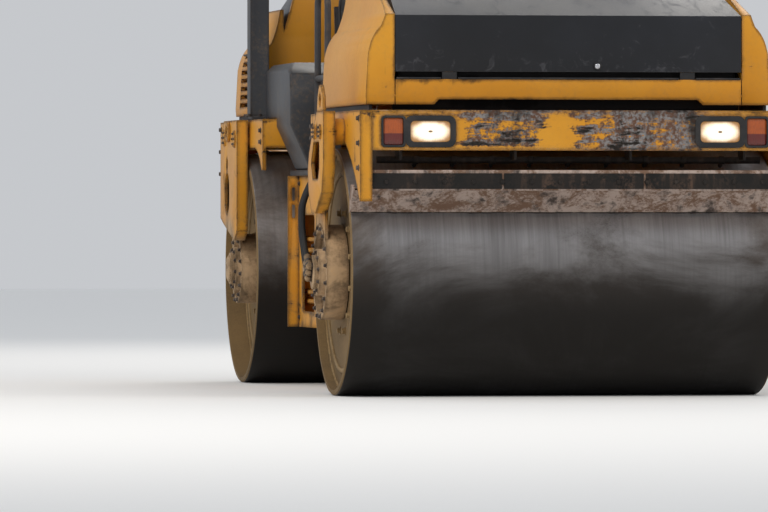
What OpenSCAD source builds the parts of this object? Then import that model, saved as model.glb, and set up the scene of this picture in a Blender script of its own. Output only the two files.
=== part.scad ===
// Tandem drum roller, in millimetres, +Z up. The front end faces -Y and the ground is z = 0.
// The origin lies on the ground under the steering pin, midway between the drums.
// Each end's pieces are drawn about their own drum: u is the distance from the drum's centre,
// outwards along the machine, so y = -u there, and the rear end is the front end turned half round.

/* [Drums] */
// Width of each drum
drum_w = 2130; // [2000:10:2200]
// Outside diameter of each drum
drum_d = 1220; // [1160:10:1300]
// Distance between the two drum centres
wheelbase = 3200; // [3100:10:3400]
// Thickness of the drum's steel shell
drum_wall = 28; // [16:2:40]
// Chamfer round the drum's rims
rim_chamfer = 8; // [2:1:12]
// Thickness of the drum's end discs
disc_t = 25; // [16:1:40]
// Depth of the end disc behind the rim on the drive side
drive_recess = 50; // [40:5:80]
// Depth of the end disc behind the rim on the vibrator side
vibrator_recess = 110; // [90:5:150]
// Diameter of the drum's stub shafts
stub_d = 150; // [120:2:170]
// Outside diameter of the hub ring on the drive side
drive_hub_d = 470; // [430:10:480]
// Outside diameter of the hub ring on the vibrator side
vibrator_hub_d = 370; // [340:10:390]

/* [Yoke arms] */
// Distance from the drum's rim to the arm's inner face on the drive side
drive_gap = 50; // [45:1:70]
// Distance from the drum's rim to the arm's inner face on the vibrator side
vibrator_gap = 8; // [6:1:30]
// Depth of the arms across the machine
arm_depth = 60; // [56:1:70]
// Thickness of the arms' plates
arm_t = 16; // [12:1:20]
// Diameter of the boss tubes that carry the arms
boss_d = 130; // [100:5:140]
// Diameter of the lifting eyes' holes
eye_d = 64; // [50:2:70]
// Diameter of the drive motors' hoses
hose_d = 24; // [18:1:26]

/* [Frame] */
// Height of the frame's top edge above the drums
frame_over = 180; // [170:5:200]
// Depth of the frame's side rails over the drums
rail_h = 150; // [120:5:155]
// Distance from the drum's rims in to the rails' outer faces
rail_inset = 5; // [0:1:20]
// Thickness of the side rails
rail_t = 20; // [12:1:30]
// Distance from the drum's centre to the frame's inner end
frame_back = 760; // [740:5:780]
// Half width of the gooseneck over the neck's root
neck_x = 340; // [300:10:350]
// Half width of the neck at the steering pin
neck_tip_x = 160; // [140:5:180]
// Height of the neck from its underside to its top
neck_h = 520; // [480:10:540]

/* [Articulation] */
// Diameter of the steering pin
pin_d = 90; // [70:2:110]
// Diameter of the oscillation shaft
shaft_d = 120; // [90:2:140]
// Height of the oscillation shaft above the drums' axles
shaft_lift = 130; // [120:5:150]
// Thickness of the steering fork's ears
ear_t = 60; // [40:2:70]
// Diameter of the steering cylinders
ram_d = 84; // [70:2:90]
// Diameter of the steering cylinders' rods
rod_d = 42; // [30:2:50]

/* [Bumpers] */
// Distance from the drum's surface to the bumper beam's face
beam_reach = 220; // [205:5:250]
// Height of the bumper beam
beam_h = 195; // [180:5:210]
// Depth of the bumper beam along the machine
beam_t = 120; // [90:5:130]
// Width of a headlamp's lens
headlamp_w = 196; // [160:2:210]
// Height of a headlamp's lens
headlamp_h = 102; // [80:2:110]
// Width of a marker lamp's lens
marker_w = 98; // [80:2:110]
// Height of a marker lamp's lens
marker_h = 131; // [110:1:135]

/* [Hoods] */
// Distance from the rails' outer faces in to the hoods' sides
hood_inset = 60; // [50:5:90]
// Width of the fairings beside the lids
fairing_w = 139; // [130:1:160]
// Gap between the frame and the hoods' underside
hood_lift = 30; // [25:1:40]
// Height of the front lid's top above the hoods' underside
hood_h = 670; // [600:10:700]
// Height of the lids' brow, where the slope starts, above the hoods' underside
brow_h = 435; // [400:5:460]
// Distance from the bumper beam's face back to the hoods' faces
hood_setback = 185; // [170:5:220]
// Length of the front hood
hood_len = 1400; // [1300:10:1400]
// Length of the rear hood
rear_hood_len = 825; // [750:5:850]
// Thickness of the hoods' walls
hood_t = 30; // [15:1:40]
// Thickness of the lids' walls
lid_t = 18; // [10:1:25]
// Width of a ventilation slot
vent_w = 22; // [12:1:28]

/* [Operator station] */
// Drop of the operator's floor below the frame's top edge
deck_drop = 270; // [260:5:290]
// Distance from the drum's rims in to the floor's edges
deck_inset = 165; // [150:5:200]
// Height of the steps' underside above the ground
step_low = 310; // [280:10:340]
// Height of the roof's underside above the frame's top edge
cab_h = 1530; // [1400:10:1600]
// Thickness of the roof
roof_t = 90; // [60:5:120]
// Outside diameter of the steering wheel
wheel_d = 380; // [340:10:420]
// Diameter of the handrails
rail_d = 34; // [28:1:42]

/* [Hidden] */
$fn = 48;

YELLOW = "goldenrod";
BLACK = "dimgray";
STEEL = "slategray";

drum_r = drum_d / 2;
rim_x = drum_w / 2;
pivot_u = wheelbase / 2;
frame_top = drum_d + frame_over;
frame_low = frame_top - rail_h;
rail_x = rim_x - rail_inset;
run_gap = 0.05;
seat_gap = 0.3;
drum_gap = 6;

// Geometry helpers

// Unit normal to the left of the line from a to b
function inward(a, b) = let (e = (b - a) / norm(b - a)) [-e[1], e[0]];
// Outline p, counter-clockwise, moved inwards by d
function inset(p, d) = [
  for (i = [0 : len(p) - 1])
    let (before = inward(p[(i + len(p) - 1) % len(p)], p[i]), after = inward(p[i], p[(i + 1) % len(p)]))
      p[i] + d * (before + after) / (1 + before * after)
];
// Points of a shallow bow from a to b that leans by sag to the left of that line
function bow(a, b, sag) = [
  for (k = [0 : 5]) a + k / 5 * (b - a) + 4 * sag * k / 5 * (1 - k / 5) * inward(a, b)
];
// Outline p mirrored in x and walked the other way round
function mirrored(p) = [for (i = [len(p) - 1 : -1 : 0]) [-p[i][0], p[i][1]]];

// Puts pieces drawn about a drum at the front or the rear end
module front_end() translate([0, -pivot_u, 0]) children();
module rear_end() rotate([0, 0, 180]) front_end() children();

// A side profile in (u, z), as thick as t, from x outwards
module side_profile(x, t) {
  translate([x, 0, 0]) rotate([90, 0, 90]) linear_extrude(t) mirror([1, 0]) children();
}

// A cross section in (x, z) carried along the machine from u_low to u_high
module cross_profile(u_low, u_high) {
  translate([0, -u_low, 0]) rotate([90, 0, 0]) linear_extrude(u_high - u_low) children();
}

// A box between two corners given as (x, u, z)
module ubox(low, high) {
  translate([low[0], -high[1], low[2]]) cube([high[0] - low[0], high[1] - low[1], high[2] - low[2]]);
}

// A round bar along X from x_low to x_high at (u, z)
module xbar(d, x_low, x_high, u, z) {
  translate([x_low, -u, z]) rotate([0, 90, 0]) cylinder(d = d, h = x_high - x_low);
}

// The same piece on both sides of the machine
module both_sides() {
  children();
  mirror([1, 0, 0]) children();
}

// A slot with round ends, standing upright, in (u, z)
module slot(u, z_low, z_high, w) {
  translate([u - w / 2, z_low + w / 2]) square([w, z_high - z_low - w]);
  for (z = [z_low + w / 2, z_high - w / 2]) translate([u, z]) circle(d = w);
}

// Rectangle centred on (x, z) with round corners
module round_rect(x, z, w, h, r) {
  translate([x - w / 2 + r, z - h / 2]) square([w - 2 * r, h]);
  translate([x - w / 2, z - h / 2 + r]) square([w, h - 2 * r]);
  for (i = [-1, 1], j = [-1, 1]) translate([x + i * (w / 2 - r), z + j * (h / 2 - r)]) circle(r);
}

// A quarter bend of a round tube, from +X to +Y about the origin, with radius r
module elbow(r, d) intersection() {
  rotate_extrude() translate([r, 0]) circle(d = d);
  translate([0, 0, -d]) cube([r + d, r + d, 2 * d]);
}

// Drums

drive_disc_x = rim_x - drive_recess;
vibrator_disc_x = rim_x - vibrator_recess;
hub_lip = 20;
stub_past = 12;

// Where a stub shaft ends, from the gap between the rim and its arm
function stub_end(gap) = rim_x + gap - hub_lip + stub_past;

// A drum with its drive side towards -X: shell with recessed discs, and the stub shafts that turn in the hubs
module drum() {
  in_r = drum_r - drum_wall;
  translate([0, 0, drum_r]) rotate([0, 90, 0]) difference() {
    rotate_extrude($fn = 120) polygon([
      [0, -drive_disc_x], [in_r, -drive_disc_x], [in_r, -rim_x], [drum_r - rim_chamfer, -rim_x],
      [drum_r, -rim_x + rim_chamfer], [drum_r, rim_x - rim_chamfer], [drum_r - rim_chamfer, rim_x],
      [in_r, rim_x], [in_r, vibrator_disc_x], [0, vibrator_disc_x]
    ]);
    rotate_extrude($fn = 120) translate([0, -drive_disc_x + disc_t]) {
      square([in_r, drive_disc_x + vibrator_disc_x - 2 * disc_t]);
    }
  }
  xbar(stub_d, -stub_end(drive_gap), -drive_disc_x + 1, 0, drum_r);
  xbar(stub_d, vibrator_disc_x - 1, stub_end(vibrator_gap), 0, drum_r);
}

// Yoke arms

arm_low = drum_r + 290;
// Outline of an arm on the drive side, counter-clockwise in (u, z)
drive_arm = [
  [190, frame_top], [60, frame_top - 90], [-60, frame_top - 200], [-105, frame_top - 290],
  [-70, frame_top - 400], [20, arm_low], [150, arm_low], [345, frame_top - 400], [400, frame_top - 270],
  [400, frame_top]
];
// Outline of an arm on the vibrator side
vibrator_arm = [
  [-310, frame_top], [-310, drum_r + 200], [-200, drum_r + 150], [200, drum_r + 240], [310, drum_r + 270],
  [310, frame_top - 130], [180, frame_top]
];
// Leg of the inner plate, from the hub up to the arm
leg_w = 160;
leg = [
  [-leg_w, drum_r], [leg_w, drum_r], [leg_w + 20, arm_low], [leg_w - 60, arm_low + 200],
  [-60, arm_low + 200], [-90, arm_low]
];
// Window of the drive side's arm
drive_window = [
  [60, frame_top - 330], [230, frame_top - 330], [270, frame_top - 280], [270, frame_top - 150],
  [90, frame_top - 150], [10, frame_top - 250]
];
boss_z = frame_top - 100;
drive_bosses = [310, 130];
vibrator_bosses = [120, -230];
hub_wall = 30;
motor_d = 230;
motor_neck_d = 170;
motor_reach = arm_depth - 26;

// Hub on an arm's inner plate: ring, web, and the motor housing that the stub shaft ends in
module hub(gap, d, disc_x) {
  inner = rim_x + gap;
  difference() {
    union() {
      xbar(d, disc_x + drum_gap, inner - hub_lip, 0, drum_r, $fn = 96);
      difference() {
        xbar(d, inner - hub_lip - 1, inner + arm_t, 0, drum_r, $fn = 96);
        xbar(d - 2 * hub_wall, inner - hub_lip, inner + arm_t + 1, 0, drum_r, $fn = 96);
      }
      xbar(motor_d, inner - hub_lip - 1, inner + motor_reach, 0, drum_r);
      xbar(motor_neck_d, inner + motor_reach - 1, inner + arm_depth - 6, 0, drum_r);
    }
    xbar(stub_d + 2 * run_gap, disc_x, stub_end(gap) + 3, 0, drum_r);
  }
}

// Drive hoses: each runs from a block on the rail down behind the arm to a tilted elbow on the motor

hose_pitch = 40;
hose_block_u = -110;
hose_block_z = frame_top - 125;
hose_block_x = rail_x + hose_d / 2 + 14;
hose_out_x = rim_x + drive_gap + arm_depth + hose_d / 2 + 4;
hose_fitting_d = hose_d + 10;
collar_h = 30;
motor_face = rim_x + drive_gap + arm_depth - 6;
motor_port_x = motor_face + hose_fitting_d / 2;
port_tilt = 55;
port_len = 84;
port_step = 36;
port_way = [0, sin(port_tilt), cos(port_tilt)];
hose_lead = 6;

// Where hose i's port stands on the motor, as (x, y, z)
function port(i) = [motor_port_x, 0, drum_r] + (1 - i) * port_step * [0, -cos(port_tilt), sin(port_tilt)];
// Curve from a to b that leaves along ta and arrives along tb, as n points without b
function hermite(a, ta, b, tb, n) = [for (k = [0 : n - 1]) let (t = k / n, s = 1 - t)
  s * s * ((1 + 2 * t) * a + t * ta) + t * t * ((3 - 2 * t) * b - s * tb)
];
// Points of hose i in (x, y, z), straight for a short lead at both ends
function hose_path(i) = let (
  back = i * hose_pitch - hose_block_u,
  collar = [hose_block_x, back, hose_block_z - collar_h],
  middle = [hose_out_x, back + 48, arm_low],
  mouth = port(i) + port_len * port_way
) concat(
  [collar],
  hermite(collar - [0, 0, hose_lead], [0, 0, -370], middle, [0, 0, -360], 9),
  hermite(middle, [0, 0, -360], mouth + hose_lead * port_way, -200 * port_way, 9),
  [mouth + hose_lead * port_way, mouth]
);

hose_sides = 10;

// Tube of diameter d along a path
module tube_along(path, d) {
  last = len(path) - 1;
  rings = [for (i = [0 : last]) let (
    ahead = path[min(i + 1, last)] - path[max(i - 1, 0)],
    side = cross(ahead, [1, 0, 0]) / norm(cross(ahead, [1, 0, 0])),
    up = cross(side, ahead) / norm(ahead)
  ) for (a = [0 : 360 / hose_sides : 359]) path[i] + d / 2 * (cos(a) * side + sin(a) * up)];
  polyhedron(rings, concat(
    [[for (k = [hose_sides - 1 : -1 : 0]) k]],
    [for (i = [0 : last - 1], k = [0 : hose_sides - 1]) let (n = (k + 1) % hose_sides, r = i * hose_sides)
      each [[r + k, r + n, r + hose_sides + n], [r + k, r + hose_sides + n, r + hose_sides + k]]],
    [[for (k = [0 : hose_sides - 1]) last * hose_sides + k]]
  ));
}

// Block on the +X rail that the hoses come out of, with a collar round each
module hose_block() {
  ubox([rail_x - 1, hose_block_u - 2 * hose_pitch - 25, hose_block_z],
       [rail_x + hose_d + 28, hose_block_u + 25, hose_block_z + 34]);
  for (i = [0 : 2]) translate([hose_block_x, i * hose_pitch - hose_block_u, hose_block_z - collar_h]) {
    cylinder(d = hose_fitting_d, h = collar_h + 1);
  }
}

// Elbows of the +X side's motor, with the crimped sleeve that each hose goes into
module motor_elbows() {
  for (i = [0 : 2]) {
    translate([motor_face - 1, port(i)[1], port(i)[2]]) rotate([0, 90, 0]) {
      cylinder(d = hose_fitting_d, h = motor_port_x - motor_face + 1);
    }
    translate(port(i)) {
      sphere(d = hose_fitting_d);
      rotate([-port_tilt, 0, 0]) cylinder(d = hose_fitting_d, h = port_len);
    }
  }
}

// The three hoses of a drive motor on the +X side
module drive_hoses() {
  for (i = [0 : 2]) tube_along(hose_path(i), hose_d);
}

// An arm on the +X side: outer plate, inner plate with hub, flange round both, boss tubes.
// The children are its windows.
module yoke_arm(outline, gap, hub_d, disc_x, boss_list) {
  inner = rim_x + gap;
  difference() {
    union() {
      difference() {
        side_profile(inner, arm_depth) polygon(outline);
        side_profile(inner + arm_t, arm_depth - 2 * arm_t) polygon(inset(outline, arm_t));
      }
      side_profile(inner, arm_t) polygon(leg);
      xbar(hub_d, inner, inner + arm_t, 0, drum_r, $fn = 96);
    }
    side_profile(inner - 1, arm_depth + 2) children();
    xbar(hub_d - 2 * hub_wall, inner - 1, inner + arm_t + 1, 0, drum_r, $fn = 96);
  }
  hub(gap, hub_d, disc_x);
  for (u = boss_list) xbar(boss_d, rail_x, inner + 1, u, boss_z);
}

module drive_side_arm() {
  yoke_arm(drive_arm, drive_gap, drive_hub_d, drive_disc_x, drive_bosses) {
    polygon(drive_window);
    slot(200, frame_top - 125, frame_top - 70, 50);
  }
  motor_elbows();
}

// Place of the lifting hole in the vibrator side's arm
vibrator_eye = [-20, frame_top - 60];

module vibrator_side_arm() {
  yoke_arm(vibrator_arm, vibrator_gap, vibrator_hub_d, vibrator_disc_x, vibrator_bosses) {
    slot(60, arm_low, frame_top - 280, 160);
    slot(60, frame_top - 262, frame_top - 200, 60);
    translate(vibrator_eye) circle(d = eye_d);
  }
}

eye_rise = 55;

// Lifting eyes: a pointed plate on the drive side's arm, a ring welded round the hole on the vibrator side
module lift_eyes() {
  u = 295;
  mirror([1, 0, 0]) difference() {
    side_profile(rim_x + drive_gap + arm_depth - arm_t, arm_t) polygon([
      [u - 100, frame_top], [u + 100, frame_top], [u + 90, frame_top + 70], [u + 30, frame_top + 130],
      [u - 30, frame_top + 130], [u - 80, frame_top + 80]
    ]);
    xbar(eye_d, rim_x, rim_x + drive_gap + arm_depth + 1, u, frame_top + eye_rise);
  }
  side_profile(rim_x + vibrator_gap + arm_depth, arm_t) translate(vibrator_eye) difference() {
    circle(d = 2 * eye_rise);
    circle(d = eye_d);
  }
}

// Frames

// Room kept round the drum inside the gooseneck
goose_room = 52;
bracket_flange = 60;
bracket_low = frame_top - 443;
rail_drop = 120;

// Side rail on the +X side: bumper bracket curving down outside, a drop to the platform inside
module side_rail() {
  side_profile(rail_x - rail_t, rail_t) polygon(concat(
    [[-frame_back, frame_low - rail_drop], [-frame_back + 40, frame_low - rail_drop]],
    bow([-frame_back + 60, frame_low - rail_drop + 20], [-460, frame_low], 24),
    bow([drum_r - 266, frame_low], [beam_u - 20, bracket_low], 30),
    [[beam_u, bracket_low], [beam_u, frame_top], [-frame_back, frame_top]]
  ));
  ubox([beam_x, beam_u - 15, bracket_low], [rail_x, beam_u, frame_top]);
}

// Members across the frame over the drum: lowest u, highest u
cross_members = [[-frame_back, 200 - frame_back], [-80, 80], [500, 600]];

// Gooseneck outline in (u, z) behind the drum, from the last cross member down to the neck
module gooseneck_side(tip_u) {
  difference() {
    polygon([
      [-500, frame_top], [-frame_back - 40, frame_top], [-frame_back - 140, neck_top], [-tip_u, neck_top],
      [-tip_u, neck_z], [-frame_back + 60, neck_z], [-500, neck_z + 150]
    ]);
    translate([0, drum_r]) circle(drum_r + goose_room, $fn = 120);
  }
}

// Distance from the drum's centre where the neck's plan starts and ends its taper
neck_taper = [pivot_u - 780, pivot_u - 450];

// Over-drum frame with a neck whose end is tip_u behind the drum's centre
module over_drum_frame(tip_u) {
  both_sides() side_rail();
  mirror([1, 0, 0]) hose_block();
  for (m = cross_members) ubox([-rail_x + rail_t, m[0], frame_low], [rail_x - rail_t, m[1], frame_top]);
  intersection() {
    side_profile(-neck_x, 2 * neck_x) gooseneck_side(tip_u);
    translate([0, 0, neck_z - 1]) linear_extrude(frame_top) polygon([
      [-neck_x, 400], [neck_x, 400], [neck_x, neck_taper[0]], [neck_tip_x, neck_taper[1]],
      [neck_tip_x, tip_u + 1],
      [-neck_tip_x, tip_u + 1], [-neck_tip_x, neck_taper[1]], [-neck_x, neck_taper[0]]
    ]);
  }
}

// Articulation

shaft_z = drum_r + shaft_lift;
neck_z = shaft_z - neck_h / 2;
neck_top = shaft_z + neck_h / 2;
ear_r = 135;
ear_top = shaft_z + 215;
ear_low = shaft_z - 215;
fork_u = pivot_u - ear_r - 50;
lug_t = 30;
eye_h = ram_d + 8;
ram_pin_d = 40;
lug_z = shaft_z - eye_h / 2 - lug_t - 1;
// Where the cylinders turn on the link and where their rods meet the front frame, at x and y from the pin
ram_foot = [300, 80];
rod_foot = [380, -620];

// Fork on the front frame with the steering pin and its cap, about the steering axis
module steering_fork() {
  for (z = [ear_low, ear_top - ear_t]) translate([0, 0, z]) {
    cylinder(r = ear_r, h = ear_t, $fn = 72);
    translate([-neck_tip_x, -ear_r - 60, 0]) cube([2 * neck_tip_x, ear_r + 60, ear_t]);
  }
  translate([0, 0, ear_low - 20]) cylinder(d = pin_d, h = ear_top - ear_low + 40);
  for (z = [ear_low - 14, ear_top - 1]) translate([0, 0, z]) cylinder(d = pin_d + 70, h = 15);
}

// Shelf under a rod's eye, on the +X side of the front neck, with its gusset
module rod_shelf() {
  translate([0, 0, lug_z]) linear_extrude(lug_t) {
    translate(rod_foot) circle(70);
    translate([neck_tip_x - 20, rod_foot[1] - 70]) square([rod_foot[0] - neck_tip_x + 20, 140]);
  }
  translate([0, rod_foot[1] + 10, 0]) rotate([90, 0, 0]) linear_extrude(20) polygon([
    [neck_tip_x, lug_z - 130], [rod_foot[0], lug_z - 10], [rod_foot[0], lug_z + 1], [neck_tip_x, lug_z + 1]
  ]);
}

module front_frame() color(YELLOW) {
  front_end() over_drum_frame(fork_u);
  steering_fork();
  both_sides() rod_shelf();
}

// Housing of the oscillation shaft on the rear neck
housing_y = 230;
housing_len = 320;
housing_r = 150;
riser_y = [260, pivot_u - frame_back - 160];
station_back = pivot_u - frame_back;

module rear_frame() color(YELLOW) {
  difference() {
    union() {
      rear_end() over_drum_frame(pivot_u - housing_y - 40);
      translate([0, housing_y, shaft_z]) rotate([-90, 0, 0]) {
        cylinder(r = housing_r, h = housing_len, $fn = 72);
        cylinder(r = housing_r + 25, h = 30, $fn = 72);
      }
    }
    translate([0, housing_y - 1, shaft_z]) rotate([-90, 0, 0]) {
      cylinder(d = shaft_d + 2 * run_gap, h = housing_len + 40);
    }
  }
  // outriggers that carry the platform and its steps
  for (o = [[260, step_x - step_depth], [station_back - 20, deck_x - 60]]) both_sides() {
    translate([0, o[0], deck_low - 100]) cube([o[1], 80, 100]);
  }
  translate([-neck_tip_x, riser_y[0], neck_top - 10]) {
    cube([2 * neck_tip_x, riser_y[1] - riser_y[0], deck_low - neck_top + 10]);
  }
}

// Link between the halves: hub on the steering pin, oscillation shaft, and the plates the cylinders push on
module pivot_link() color(BLACK) {
  link_r = ear_r - 5;
  ear_room = 5;
  difference() {
    union() {
      translate([0, 0, ear_low + ear_t + ear_room]) {
        cylinder(r = link_r, h = ear_top - ear_low - 2 * (ear_t + ear_room), $fn = 72);
      }
      translate([0, 0, shaft_z]) rotate([-90, 0, 0]) {
        cylinder(d = shaft_d, h = housing_y + housing_len);
        cylinder(d = 240, h = housing_y - 10);
        translate([0, 0, housing_y - 40]) cylinder(d = 2 * housing_r, h = 30, $fn = 72);
      }
      for (z = [lug_z, shaft_z + eye_h / 2 + 1]) translate([0, 0, z]) linear_extrude(lug_t) {
        polygon([
          [-ram_foot[0], ram_foot[1] - 50], [-link_r + 20, ram_foot[1] - 110],
          [link_r - 20, ram_foot[1] - 110],
          [ram_foot[0], ram_foot[1] - 50], [ram_foot[0], ram_foot[1] + 50], [-ram_foot[0], ram_foot[1] + 50]
        ]);
        for (s = [-1, 1]) translate([s * ram_foot[0], ram_foot[1]]) circle(50);
      }
    }
    translate([0, 0, ear_low]) cylinder(d = pin_d + 2 * run_gap, h = ear_top - ear_low);
  }
  both_sides() translate([ram_foot[0], ram_foot[1], lug_z - 8]) {
    cylinder(d = ram_pin_d, h = 2 * lug_t + eye_h + 18);
  }
}

ram_run = rod_foot - ram_foot;
ram_len = norm(ram_run);
ram_turn = atan2(ram_run[1], ram_run[0]);
barrel_end = 475;
gland_len = 50;
rod_start = 250;
bore_start = 60;

// Draws along a steering cylinder's axis, from its foot on the link towards the rod's eye, on the +X side
module along_ram() translate([ram_foot[0], ram_foot[1], shaft_z]) rotate([0, 0, ram_turn]) children();

module ram_barrel() {
  difference() {
    union() {
      translate([0, 0, -eye_h / 2]) cylinder(r = 45, h = eye_h);
      translate([30, 0, 0]) rotate([0, 90, 0]) cylinder(d = ram_d - 8, h = barrel_end - 30);
      translate([barrel_end - gland_len, 0, 0]) rotate([0, 90, 0]) cylinder(d = ram_d, h = gland_len);
      for (x = [140, barrel_end - gland_len - 30]) translate([x, 0, 0]) cylinder(d = 30, h = ram_d / 2 + 22);
    }
    translate([0, 0, -eye_h]) cylinder(d = ram_pin_d + 2 * run_gap, h = 2 * eye_h);
    translate([bore_start, 0, 0]) rotate([0, 90, 0]) cylinder(d = rod_d + 2 * run_gap, h = barrel_end);
  }
}

module ram_rod() {
  translate([rod_start, 0, 0]) rotate([0, 90, 0]) cylinder(d = rod_d, h = ram_len - rod_start - 20);
  translate([ram_len, 0, -eye_h / 2]) {
    cylinder(r = 42, h = eye_h);
    cylinder(d = ram_pin_d, h = eye_h + 15);
  }
}

module right_ram() color(BLACK) along_ram() ram_barrel();
module right_rod() color(STEEL) along_ram() ram_rod();
module left_ram() color(BLACK) mirror([1, 0, 0]) along_ram() ram_barrel();
module left_rod() color(STEEL) mirror([1, 0, 0]) along_ram() ram_rod();

// Bumper, lamps, scraper and spray bar

beam_u = drum_r + beam_reach;
beam_x = rail_x - bracket_flange;
beam_low = frame_top - beam_h;
beam_wall = 12;
lamp_z = frame_top - 104;
headlamp_x = beam_x - 285;
marker_x = beam_x - 103;
headlamp_bezel = 26;
marker_bezel = 11;
lens_depth = 40;
lens_inset = 6;

// One lamp's outline grown by g, at x
module headlamp_shape(g) round_rect(headlamp_x, lamp_z, headlamp_w + 2 * g, headlamp_h + 2 * g, 22 + g / 2);
module marker_shape(g) round_rect(marker_x, lamp_z, marker_w + 2 * g, marker_h + 2 * g, 12 + g / 2);

module bumper_beam() {
  difference() {
    ubox([-beam_x, beam_u - beam_t, beam_low], [beam_x, beam_u, frame_top]);
    ubox([-beam_x - 1, beam_u - beam_t - 1, beam_low + beam_wall],
         [beam_x + 1, beam_u - beam_wall, frame_top - beam_wall]);
    both_sides() cross_profile(beam_u - beam_wall - 1, beam_u + 1) {
      headlamp_shape(headlamp_bezel);
      marker_shape(marker_bezel);
    }
  }
}

module lamp_frames() {
  both_sides() cross_profile(beam_u - lens_depth, beam_u + 4) {
    difference() {
      headlamp_shape(headlamp_bezel - seat_gap);
      headlamp_shape(seat_gap);
    }
    difference() {
      marker_shape(marker_bezel - seat_gap);
      marker_shape(seat_gap);
    }
  }
}

module headlamps() both_sides() cross_profile(beam_u - lens_depth, beam_u - lens_inset) headlamp_shape(0);
module markers() both_sides() cross_profile(beam_u - lens_depth, beam_u - lens_inset) marker_shape(0);

scraper_gap = 6;
blade_angle = 28.6;
blade_t = 14;
scraper_u = drum_r + 90;
scraper_z = drum_r + 400;
scraper_w = 105;
scraper_h = 100;
scraper_x = rail_x - rail_t;
blade_x = rim_x + 5;

// Scraper: a channel between the brackets, a blade that reaches to the drum, and side plates round the rims
module scraper() {
  tip = [(drum_r + scraper_gap) * cos(blade_angle), drum_r + (drum_r + scraper_gap) * sin(blade_angle)];
  heel = [scraper_u - 20, scraper_z];
  difference() {
    ubox([-scraper_x, scraper_u, scraper_z], [scraper_x, scraper_u + scraper_w, scraper_z + scraper_h]);
    ubox([-scraper_x - 1, scraper_u - 1, scraper_z + beam_wall],
         [scraper_x + 1, scraper_u + scraper_w - beam_wall, scraper_z + scraper_h - beam_wall]);
  }
  side_profile(-blade_x, 2 * blade_x) polygon([
    tip, tip + [blade_t, -3], heel, heel + [30, 0], heel + [30, blade_t], heel + [-8, blade_t]
  ]);
  both_sides() side_profile(blade_x - 12, 12) polygon([
    tip, tip + [blade_t, -3], heel, heel + [-40, 30], heel + [-90, 30]
  ]);
}

spray_u = drum_r + 30;
spray_z = beam_low - 45;
spray_d = 34;
nozzle_step = 190;
spray_x = beam_x - 50;

module spray_bar() {
  xbar(spray_d, -spray_x, spray_x, spray_u, spray_z);
  for (i = [-4 : 4]) {
    translate([i * nozzle_step, -spray_u, spray_z]) rotate([-125, 0, 0]) cylinder(d = 22, h = 45);
  }
  for (x = [-spray_x + 100, -nozzle_step * 1.5, nozzle_step * 1.5, spray_x - 100]) {
    ubox([x - 6, spray_u - 10, spray_z], [x + 6, beam_u - beam_t + 50, beam_low]);
  }
}

// Hoods and lids

hood_x = rail_x - hood_inset;
lid_gap = 4;
lid_x = hood_x - fairing_w - lid_gap;
hood_z = frame_top + hood_lift;
hood_top = hood_z + hood_h;
brow_z = hood_z + brow_h;
hood_u = beam_u - hood_setback;
lid_z = hood_z + 160;
lid_slope = 17;
strip_top = hood_z + 123;
lip_z = brow_z + 125;
floor_z = hood_z + 40;
floor_t = 10;
foot_d = 80;
stop_x = lid_x - 267;
crest_u = hood_u - (hood_top - brow_z) / tan(lid_slope);
front_rear_u = hood_u - hood_len;
rear_rear_u = hood_u - rear_hood_len;
lid_back = hood_t + 5;
hinge_d = 26;
hinge_pin_d = 12;
hinge_x = lid_x - 300;
hinge_z = hood_top + hinge_d / 2 + 1;

// Half of the lid's cross section, inwards of its outer face by t, right side from the foot upwards
function lid_half(t) = [
  [lid_x - t, lid_z - (t > 0 ? 1 : 0)], [lid_x - t, brow_z - t / 4], [lid_x - 25 - t, brow_z + 99 - t / 2],
  [lid_x - 60 - t, hood_top - t]
];

// The lid's outline from the side, inwards of its outer face by t, from the rear edge at rear_u
function lid_side(t, rear_u) = [
  [rear_u - (t > 0 ? 1 : 0), lid_z - (t > 0 ? 1 : 0)], [hood_u - t, lid_z - (t > 0 ? 1 : 0)],
  [hood_u - t, brow_z - t * 0.74], [crest_u - 0.15 * t, hood_top - t],
  [rear_u - (t > 0 ? 1 : 0), hood_top - t]
];

// Solid bounded by the lid's faces moved inwards by t
module lid_body(t, rear_u) intersection() {
  side_profile(-lid_x, 2 * lid_x) polygon(lid_side(t, rear_u));
  cross_profile(rear_u - 2, hood_u) polygon(concat(lid_half(t), mirrored(lid_half(t))));
}

// Lid of a hood whose rear wall is at rear_u, with the middle knuckles of its two hinges
module lid_shell(rear_u) {
  difference() {
    lid_body(0, rear_u + lid_back);
    lid_body(lid_t, rear_u + lid_back);
  }
  hinge_u = rear_u + lid_back - 2.5;
  for (x = [-hinge_x, hinge_x]) difference() {
    union() {
      xbar(hinge_d, x - 25, x + 25, hinge_u, hinge_z);
      ubox([x - 25, hinge_u + 3, hood_top - 1], [x + 25, hinge_u + 90, hood_top + 8]);
    }
    xbar(hinge_pin_d + 2 * run_gap, x - 26, x + 26, hinge_u, hinge_z);
  }
}

// Side fairing's section on the +X side, counter-clockwise, and the hollow inside it
shoulder_z = hood_z + 370;
module fairing_section() polygon(concat(
  [[lid_x + lid_gap, hood_z], [hood_x, hood_z], [hood_x + 3, hood_z + 40], [hood_x - 8, hood_z + 250]],
  bow([hood_x - 18, hood_z + 290], [hood_x - 60, shoulder_z], -5),
  bow([hood_x - 72, shoulder_z + 12], [lid_x + lid_gap + 20, lip_z], 7),
  [[lid_x + lid_gap, lip_z]]
));
module fairing_hollow() polygon([
  [lid_x + lid_gap + hood_t, hood_z - 1], [hood_x - hood_t, hood_z - 1], [hood_x - 8 - hood_t, hood_z + 240],
  [hood_x - 52 - hood_t, shoulder_z - 40], [lid_x + lid_gap + hood_t, shoulder_z - 20]
]);

vent_n = 7;
vent_step = 2 * vent_w;

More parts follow.
